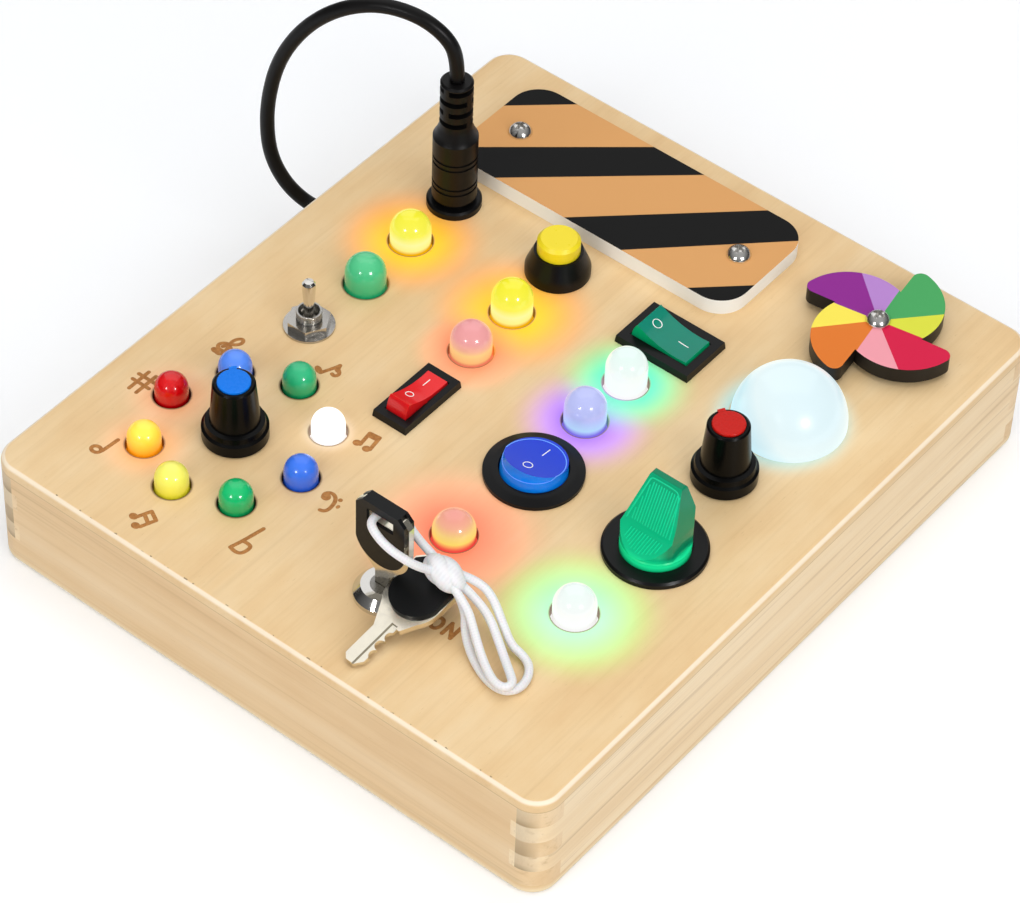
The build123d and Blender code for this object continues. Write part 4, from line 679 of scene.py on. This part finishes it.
# --------------------------------------------------------------- rotary knobs
# Two skirted knobs moulded in black plastic, each with a coloured pointer cap
# pressed into its top.
dress(plain_finish("moulded_gloss_black", "070707", 0.24, 0.02, Specular_IOR_Level=0.12),
      "selector_knob", "dimmer_knob")
dress(plain_finish("moulded_cap_blue", "0A78E8", 0.28, 0.03, Specular_IOR_Level=0.2),
      "selector_cap")
dress(plain_finish("moulded_cap_red", "C4180F", 0.28, 0.03, Specular_IOR_Level=0.2),
      "dimmer_cap")

# -------------------------------------------------------------------- rockers
# Snap-in switches: black moulded housings with tinted translucent rockers that
# carry thin white line and ring marks, printed on their curved faces. The rockers'
# side colours and faint glow are painted light.
dress(plain_finish("moulded_switch_black", "0A0A0B", 0.3, 0.02, Specular_IOR_Level=0.2),
      "red_rocker_housing", "green_rocker_housing", "round_rocker_housing", "lever_switch",
      "button_collar", "dc_jack", "cord_gland")


def tinted_painted_light_finish(name, code, painted_side_code, glow):
    """Tinted translucent plastic under a thin glossy skin, its sides in another colour as painted
    light and shade, and a faint painted glow.
    """
    finish, tree, surface = start_finish(
        name, Roughness=0.18, Specular_IOR_Level=0.2, Subsurface_Weight=0.35,
        Subsurface_Scale=2 * mm, Coat_Weight=0.3, Coat_Roughness=0.05, Emission_Strength=glow)
    # Painted light and shade: the faces that don't look up take the side colour.
    top = step_at(tree, xyz(tree, here(tree, "Normal"))["Z"], 0.6, 0.1)
    tint = mix(tree, top, painted_side_code, code)
    fill(tree, surface, {"Base Color": tint, "Emission Color": tint})
    return finish


dress(tinted_painted_light_finish("tinted_red_rocker", "DE2226", "C4161A", 0.14), "red_rocker")
dress(tinted_painted_light_finish("tinted_green_rocker", "04806A", "05A068", 0.08), "green_rocker")
dress(tinted_painted_light_finish("tinted_blue_rocker", "0638CA", "0A7CE8", 0.14), "round_rocker")
# White print, with a faint painted glow.
white_print_with_painted_glow = plain_finish("pad_printed_white", "F2F4F2", 0.5, 0.05, Emission_Color="F2F4F2",
                           Emission_Strength=0.1)
bar_half = 1.2
ring_half = 0.95
print_half = 0.12 * mm
print_rise = 0.04 * mm


def skin_of(name):
    """The surface of a CAD node, for casting rays on it."""
    mesh = nodes[name].data
    points = [vertex.co for vertex in mesh.vertices]
    return BVHTree.FromPolygons(points, [tuple(face.vertices) for face in mesh.polygons])


def cast_down(skin, x, y):
    """Where a ray from high above meets a surface, or None."""
    return skin.ray_cast(Vector((x, y, 0.2)), Vector((0, 0, -1)))[0]


def drop_onto(name, line):
    """Moves each point of a line straight down onto a CAD node."""
    skin = skin_of(name)
    return np.array([(x, y, cast_down(skin, x, y).z) for x, y in line])


def top_edge(name, centre, outside, inset):
    """A line round the upper face of a CAD node, inset from where rays from above miss it."""
    skin = skin_of(name)
    line = []
    for turn in np.linspace(0, 2 * math.pi, 73):
        way = np.array([math.cos(turn), math.sin(turn)])
        hit = None
        reach = outside
        while hit is None or hit.z < lid_top + 1.5 * mm:
            reach -= 0.05 * mm
            hit = cast_down(skin, *(centre + way * reach))
        line.append(centre + way * (reach - inset))
    return drop_onto(name, line)


def print_marks(body, line_place, ring_place, along, size=1.0):
    """A line mark and a ring mark on a rocker, as thin raised print."""
    ahead = np.array([math.cos(along), math.sin(along)]) * bar_half * size
    bar = np.linspace(line_place - ahead, line_place + ahead, 25) * mm
    ring = oval(*ring_place, ring_half * size, ring_half * size) * mm
    meshes = [bead(drop_onto(body, line), print_half, print_rise) for line in (bar, ring)]
    piece = place_piece(body + "_marks", meshes, white_print_with_painted_glow)
    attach(piece, body)


print_marks("red_rocker", (-18.0, -12.8), (-17.9, -19.0), math.pi / 2)
print_marks("green_rocker", (19.6, 35.5), (11.8, 35.5), 0.0, 1.15)
print_marks("round_rocker", (17.5, -13.2), (17.5, -19.9), math.pi / 2, 1.15)

# A painted highlight: a thin bright blue bead with a faint glow along the round rocker's edge, where
# it catches the light.
rocker_centre = np.array([17.2, -17.1]) * mm
highlight_line = top_edge("round_rocker", rocker_centre, 7.65 * mm, 0.35 * mm)
rim = place_piece("round_rocker_painted_highlight", [bead(highlight_line, 0.14 * mm, 0.05 * mm)], plain_finish(
    "painted_highlight_blue", "5E96F5", 0.2, 0.03, Emission_Color="5E96F5", Emission_Strength=0.2))
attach(rim, "round_rocker")

# ------------------------------------------------------------- lever selector
# A wedge-shaped handle of clear emerald plastic, ribbed inside so that it
# scatters the light, on a round black flange.
lever_foot = lid_top + 0.5 * mm
lever_top = lid_top + 22.5 * mm
lever_hub = lid_top + 4.5 * mm


def emerald_painted_light_finish(name, front_stops_with_painted_light, glow):
    """Clear green plastic: colour by height on the front faces with a painted bright band low down,
    painted shade on the faces turned away, and a faint painted glow.
    """
    finish, tree, surface = start_finish(name, Roughness=0.2, Specular_IOR_Level=0.15,
                                         Coat_Weight=0.2, Coat_Roughness=0.06,
                                         Emission_Strength=glow)
    height = xyz(tree, here(tree))["Z"]
    front = ramp(tree, remap(tree, height, lever_foot, lever_top), front_stops_with_painted_light)
    turned = remap(tree, xyz(tree, here(tree, "Normal"))["Y"], -0.75, -0.55)
    above_hub = step_at(tree, height, lever_hub, 0.8 * mm)
    # Painted shade on the faces that don't look to the front, above the hub.
    tint = mix(tree, times(tree, turned, above_hub, 0.75), front, "036C4A")
    fill(tree, surface, {"Base Color": tint, "Emission Color": tint})
    return finish


dress(emerald_painted_light_finish("clear_emerald_acrylic", (
    (0.0, "059A58"), (0.1, "1CF0A0"), (0.2, "05B47E"), (0.4, "04AC78"), (0.75, "04A878"),
    (1.0, "049468")), 0.15), "lever_handle")

# Ribs on the handle's two front slopes, each slope as its low and high edge
# (y, z) in mm from the shaft on the lid, then the frame round the upper ones.
# The handle's left edge leans in from x -5.9 at z 6.0 to x -2.2 at z 21.4.
lever_low, lever_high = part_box("lever_handle")
shaft = np.array([*((lever_low + lever_high) / 2).xy, lid_top]) / mm
lower_slope = np.array([(-8.2, 4.0), (-4.0, 9.6)])
upper_slope = np.array([(-4.0, 9.6), (1.6, 21.4)])
left_edge = ((-5.9, -2.2), (6.0, 21.4))
foot_radius = 7.5
rib_points = 12
rib_half = 0.17 * mm
rib_rise = 0.07 * mm
# Each row: the slope, where its ribs start, their low and high ends and their lean.
rib_rows = ((upper_slope, np.linspace(-5.0, 5.0, 15), 10.3, 19.6, 0.0),
            (lower_slope, np.linspace(-5.6, 3.6, 13), 5.0, 8.8, 1.3))
rib_frame = ((-5.7, 10.0), (-3.6, 18.6), (-3.2, 20.2), (-2.2, 20.5), (3.4, 20.5), (4.5, 20.0),
             (5.0, 18.4), (5.9, 12.4), (6.0, 10.4))


def slope_line(slope, x, z):
    """Points laid on a slope, kept inside the handle's round foot, in metres."""
    y = np.interp(z, slope[:, 1], slope[:, 0])
    line = np.column_stack([x, y, z])
    return (line[np.hypot(x, y) < foot_radius] + shaft) * mm


def square_to(slope):
    """The direction square to a slope."""
    run, rise = slope[1] - slope[0]
    return 0, -rise, run


meshes = [bead(slope_line(upper_slope, *rounded(rib_frame, 2).T), 0.2 * mm, 0.08 * mm,
               square_to(upper_slope))]
for slope, starts, low, high, shift in rib_rows:
    for start in starts:
        heights = np.linspace(low, min(high, np.interp(start, *left_edge)), rib_points)
        line = slope_line(slope, np.linspace(start, start + shift, rib_points), heights)
        if len(line) > 3 and heights[-1] > low:
            meshes.append(bead(line, rib_half, rib_rise, square_to(slope)))
# The ribs' brighter green and faint glow are painted highlights.
ribs = place_piece("lever_ribs", meshes, emerald_painted_light_finish("emerald_rib_highlights", (
    (0.0, "08C48A"), (0.5, "08C48C"), (1.0, "0ECC96")), 0.2))
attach(ribs, "lever")

# ---------------------------------------------------------------- push button
# A yellow cap in a black tapered collar, over a steel return spring, built as a
# fixed coil. On the real button the spring gives way between the collar and the
# cap when it is pressed.
dress(plain_finish("moulded_cap_yellow", "F3DC1F", 0.32, 0.05), "button_cap")


def tube_mesh(line, radius, sides=20):
    """A round tube closed by flat discs, its UV map the length in mm and the turn."""
    ahead = directions(line)
    side = np.cross(ahead[0], (0.3, 0.2, 1.0))
    sides_along = []
    for way in ahead:
        side = side - way * (side @ way)
        side = side / np.linalg.norm(side)
        sides_along.append(side)
    side = np.array(sides_along) * radius
    path = held(line)
    steps = np.linalg.norm(np.diff(path, axis=0), axis=1)
    run = np.concatenate([[0], np.cumsum(steps)]) / mm
    uv = np.stack(np.broadcast_arrays(run[:, None], np.linspace(0, 1, sides + 1)[None]), -1)
    return surface_mesh(swept(path, held(side), held(np.cross(ahead, side)), sides), uv)


spring_wire = 0.4 * mm
spring_radius = 2.8 * mm
spring_turns = 5
spring_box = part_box("button_spring")
spring_place = (spring_box[0] + spring_box[1]) / 2
spring_foot = spring_box[0].z + spring_wire
spring_head = spring_box[1].z - spring_wire
share = np.linspace(0, 1, 24 * spring_turns + 1)
coil_turn = 2 * math.pi * spring_turns * share
coil_line = np.column_stack([
    spring_place.x + spring_radius * np.cos(coil_turn),
    spring_place.y + spring_radius * np.sin(coil_turn),
    spring_foot + (spring_head - spring_foot) * share])
spring = place_piece("return_spring", [tube_mesh(coil_line, spring_wire, 10)],
                     plain_finish("spring_steel", "9A9A98", 0.3, 0.08, Metallic=1.0))
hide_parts("button_spring")
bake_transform(spring)

# ------------------------------------------------------------- lock and keys
# A chromed cam lock with its key turned upright, and a spare key that hangs
# from the same lanyard: nickel-plated blades with black moulded grips.
dress(plain_finish("chromed_brass", "DAD8D4", 0.1, 0.04, 900.0, Metallic=1.0), "lock_body")
dress(plain_finish("machined_brass_core", "8E8C88", 0.3, 0.08, 900.0, Metallic=1.0), "lock_rotor")
dress(plain_finish("nickel_plated_brass", "EAE3D2", 0.17, 0.05, 700.0, Metallic=1.0),
      "key_blade", "spare_key_blade")
dress(plain_finish("moulded_key_grip", "0E0F10", 0.34, 0.06, Specular_IOR_Level=0.2),
      "key_cover", "spare_key_cover")

# -------------------------------------------------------------------- lanyard
# One length of soft white braided cord: it goes through the key, is tied in a
# single knot and ends in two long loops that lie on the lid.
neck_route = [
    (26.3, -63.7, 44.0), (25.4, -67.2, 47.2), (22.7, -70.0, 50.6), (18.8, -71.4, 53.2),
    (14.8, -71.0, 55.2), (12.9, -69.3, 55.6), (13.3, -64.3, 55.6), (14.8, -61.9, 53.2),
    (16.6, -61.1, 50.0), (19.0, -60.9, 47.3), (22.2, -60.8, 45.2), (26.3, -61.2, 44.0),
]
near_loop_route = [
    (31.4, -63.9, 43.2), (36.6, -65.0, 41.0), (40.3, -67.0, 37.4), (44.4, -69.6, 34.9),
    (48.4, -72.0, 34.2), (51.6, -73.4, 34.1), (54.0, -72.9, 34.1), (54.3, -70.8, 34.1),
    (52.4, -69.3, 34.2), (49.2, -67.1, 34.4), (44.8, -64.2, 35.4), (40.4, -61.6, 37.0),
    (36.0, -60.8, 39.2), (31.5, -61.6, 42.4),
]
far_loop_route = [
    (30.2, -60.4, 43.2), (34.4, -58.0, 41.6), (38.4, -58.0, 39.0), (43.0, -60.3, 35.8),
    (47.0, -62.3, 33.6), (49.8, -62.1, 32.6), (52.9, -63.2, 32.2), (55.0, -66.4, 32.1),
    (55.3, -70.2, 32.1), (53.0, -72.7, 32.1), (49.0, -72.6, 32.1), (44.6, -70.9, 32.1),
    (40.4, -68.6, 32.7), (37.4, -66.6, 35.4), (35.7, -64.3, 39.1), (30.9, -62.6, 41.7),
]


def smooth_line(route):
    """Points along the NURBS spline whose control points are the route, given in mm."""
    data = bpy.data.curves.new("line", "CURVE")
    data.dimensions = "3D"
    data.resolution_u = 16
    spline = data.splines.new("NURBS")
    spline.points.add(len(route) - 1)
    for point, place in zip(spline.points, route):
        point.co = (*(np.array(place) * mm), 1.0)
    spline.order_u = 3
    spline.use_endpoint_u = True
    holder = add_object("line", data)
    bpy.context.view_layer.update()
    mesh = bpy.data.meshes.new_from_object(holder)
    points = np.array([vertex.co for vertex in mesh.vertices], float)
    bpy.data.objects.remove(holder)
    return points


# The braid: two sets of threads wound in opposite hands, from the cord's UV map.
cord_radius = 1.0 * mm
thread_pitch = 1.3
thread_pairs = 4
braid, tree, surface = start_finish("braided_nylon_cord", Roughness=0.6, Sheen_Weight=0.1,
                                    Subsurface_Weight=0.2, Subsurface_Scale=1.5 * mm)
run = xyz(tree, add_node(tree, "UVMap", {})["UV"])
waves = []
for hand in (1, -1):
    along = maths(tree, "MULTIPLY", run["X"], 2 * math.pi / thread_pitch * hand)
    about = maths(tree, "MULTIPLY_ADD", run["Y"], 2 * math.pi * thread_pairs, along)
    waves.append(maths(tree, "SINE", about))
crest = remap(tree, times(tree, *waves), -1.0, 1.0)
fill(tree, surface, {"Base Color": ramp(tree, crest, ((0.1, "E0E0E3"), (0.6, "E8E8EA"))),
                     "Normal": relief(tree, crest, 0.08, 0.08 * mm)})

neck_line = smooth_line(neck_route)
neck = place_piece("lanyard_neck_cord", [tube_mesh(neck_line, cord_radius)], braid)
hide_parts("lanyard_neck")
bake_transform(neck)
for name, route, length in (("near_loop_cord", near_loop_route, 56.4),
                            ("far_loop_cord", far_loop_route, 65.6)):
    line = smooth_line(route)
    loop = place_piece(name, [tube_mesh(line, cord_radius)], braid)
    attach(loop, "root")
    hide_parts("lanyard_loops")

# The knot: three turns of the cord pulled tight, as ridges round an egg shape.
knot_low, knot_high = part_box("lanyard_knot")
knot_centre = (knot_low + knot_high) / 2
knot_half = 5.5 * mm
knot_radius = 3.6 * mm
knot_tilt = math.radians(15)
u, v = np.meshgrid(np.linspace(0, math.pi, 65), np.linspace(0, 2 * math.pi, 97), indexing="ij")
ridge = np.abs(np.sin(1.5 * v + 2.3 * np.cos(u))) ** 0.7
girth = np.sin(u) * (0.84 + 0.16 * ridge) * knot_radius
axis = np.array([math.cos(knot_tilt), 0, -math.sin(knot_tilt)])
over = np.array([math.sin(knot_tilt), 0, math.cos(knot_tilt)])
beside = np.array([0, 1, 0])
egg = (np.array(knot_centre) + axis * (knot_half * np.cos(u))[..., None]
       + over * (girth * np.cos(v))[..., None] + beside * (girth * np.sin(v))[..., None])
knot_uv = np.stack([u * 4, v / (2 * math.pi)], -1)
knot = place_piece("lanyard_knot_turns", [surface_mesh(egg, knot_uv)], braid)
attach(knot, "root")
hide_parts("lanyard_knot")

# ----------------------------------------------------- socket, plug and cord
# A round low-voltage plug in soft black rubber stands in its socket. Its cord
# arches over the side of the case and goes back in through a gland.
power_radius = 1.8 * mm
power_route = [
    (-53.4, 40.3, 70.0), (-53.4, 40.3, 77.3), (-56.5, 39.2, 83.0), (-63.0, 36.8, 87.0),
    (-71.9, 33.6, 87.4), (-81.3, 30.1, 83.0), (-89.5, 27.2, 74.4), (-95.6, 24.9, 62.4),
    (-98.5, 23.9, 48.0), (-98.6, 23.9, 36.0), (-97.2, 24.5, 28.6), (-94.3, 25.8, 22.4),
    (-90.8, 27.6, 18.2), (-87.3, 28.6, 16.9), (-84.0, 28.6, 16.9),
]
rubber = plain_finish("moulded_cord_rubber", "0C0B0B", 0.38, 0.03, Specular_IOR_Level=0.2)
dress(rubber, "plug_moulding")
power_line = smooth_line(power_route)[::-1]
power = place_piece("power_cord_sheath", [tube_mesh(power_line, power_radius)], rubber)
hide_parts("power_cord")
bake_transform(power)

# --------------------------------------------------------------------- studio
# White floor under a sky that brightens towards the zenith, broad soft lamps above,
# in front and to the right, two softboxes whose small reflections sit low on
# every glossy nose, and a far card that shows only in polished faces.
floor_reach = 6.0
under = -0.1 * mm
floor_mesh = bpy.data.meshes.new("floor")
floor_mesh.from_pydata([(x * floor_reach, y * floor_reach, under) for x, y in (
    (-1, -1), (1, -1), (1, 1), (-1, 1))], [], [(0, 1, 2, 3)])
add_object("floor", floor_mesh)
# The floor looks a little brighter than it is, without lighting anything.
paper, tree, surface = start_finish("white_paper_floor", Base_Color="F1F3F6", Roughness=0.9)
lit = add_node(tree, "Emission", {"Color": "FFFFFF", "Strength": 0.15})[0]
dark = add_node(tree, "Emission", {"Color": "000000", "Strength": 0.0})[0]
seen = add_node(tree, "LightPath", {})["Is Camera Ray"]
extra = add_node(tree, "MixShader", {"Fac": seen, 1: dark, 2: lit})[0]
whole = add_node(tree, "AddShader", {0: surface.outputs[0], 1: extra})[0]
fill(tree, tree.nodes["Material Output"], {"Surface": whole})
floor_mesh.materials.append(paper)

world = bpy.data.worlds.new("studio")
bpy.context.scene.world = world
world.use_nodes = True
tree = world.node_tree
height = xyz(tree, here(tree, "Generated"))["Z"]
fill(tree, tree.nodes["Background"], {
    "Color": "FFFFFF", "Strength": remap(tree, height, 0.15, 0.9, 0.04, 0.40)})

aim = Vector((0, 0, lid_top))
camera_azimuth = 37.3
softbox_turn = 36


def face_towards(thing, place, target, roll=0.0):
    """Puts a lamp or the camera at a place, facing a target."""
    thing.location = place
    thing.rotation_mode = "QUATERNION"
    thing.rotation_quaternion = ((target - place).to_track_quat("-Z", "Y")
                                 @ Quaternion((0, 0, 1), roll))


def around(azimuth, elevation, distance=1.5):
    """A place seen from the lid's centre at that azimuth and elevation, in degrees."""
    a, e = math.radians(azimuth), math.radians(elevation)
    return aim + distance * Vector((math.sin(a) * math.cos(e), -math.cos(a) * math.cos(e),
                                    math.sin(e)))


def softbox(name, place, size, power, lights, shows):
    """A square area lamp aimed at the lid, that lights matt faces, shows in glossy ones, or both."""
    data = bpy.data.lights.new(name, "AREA")
    data.size = size
    data.energy = power
    lamp = add_object(name, data)
    face_towards(lamp, place, aim)
    lamp.visible_diffuse = lights
    lamp.visible_glossy = shows


left = around(camera_azimuth - softbox_turn, 31)
right = around(camera_azimuth + softbox_turn, 31)
softbox("softbox_left", left, 0.22, 5, False, True)
softbox("softbox_right", right, 0.22, 9, False, True)
softbox("front_fill", left, 1.2, 9, True, False)
softbox("right_fill", right, 1.2, 10.5, True, False)
softbox("overhead", Vector((0.0, 0.25, 1.6)), 1.6, 13, True, False)
softbox("far_card", around(camera_azimuth + 180, 46), 2.2, 11, False, True)

camera_data = bpy.data.cameras.new("camera")
camera_data.sensor_width = 36.0
camera_data.lens = 147.26
camera = add_object("camera", camera_data)
face_towards(camera, Vector((403.66, -535.45, 719.08)) * mm, Vector((8.92, -15.44, 31.0)) * mm,
             math.radians(2.355))
bpy.context.scene.camera = camera
bpy.context.scene.view_settings.view_transform = "Standard"
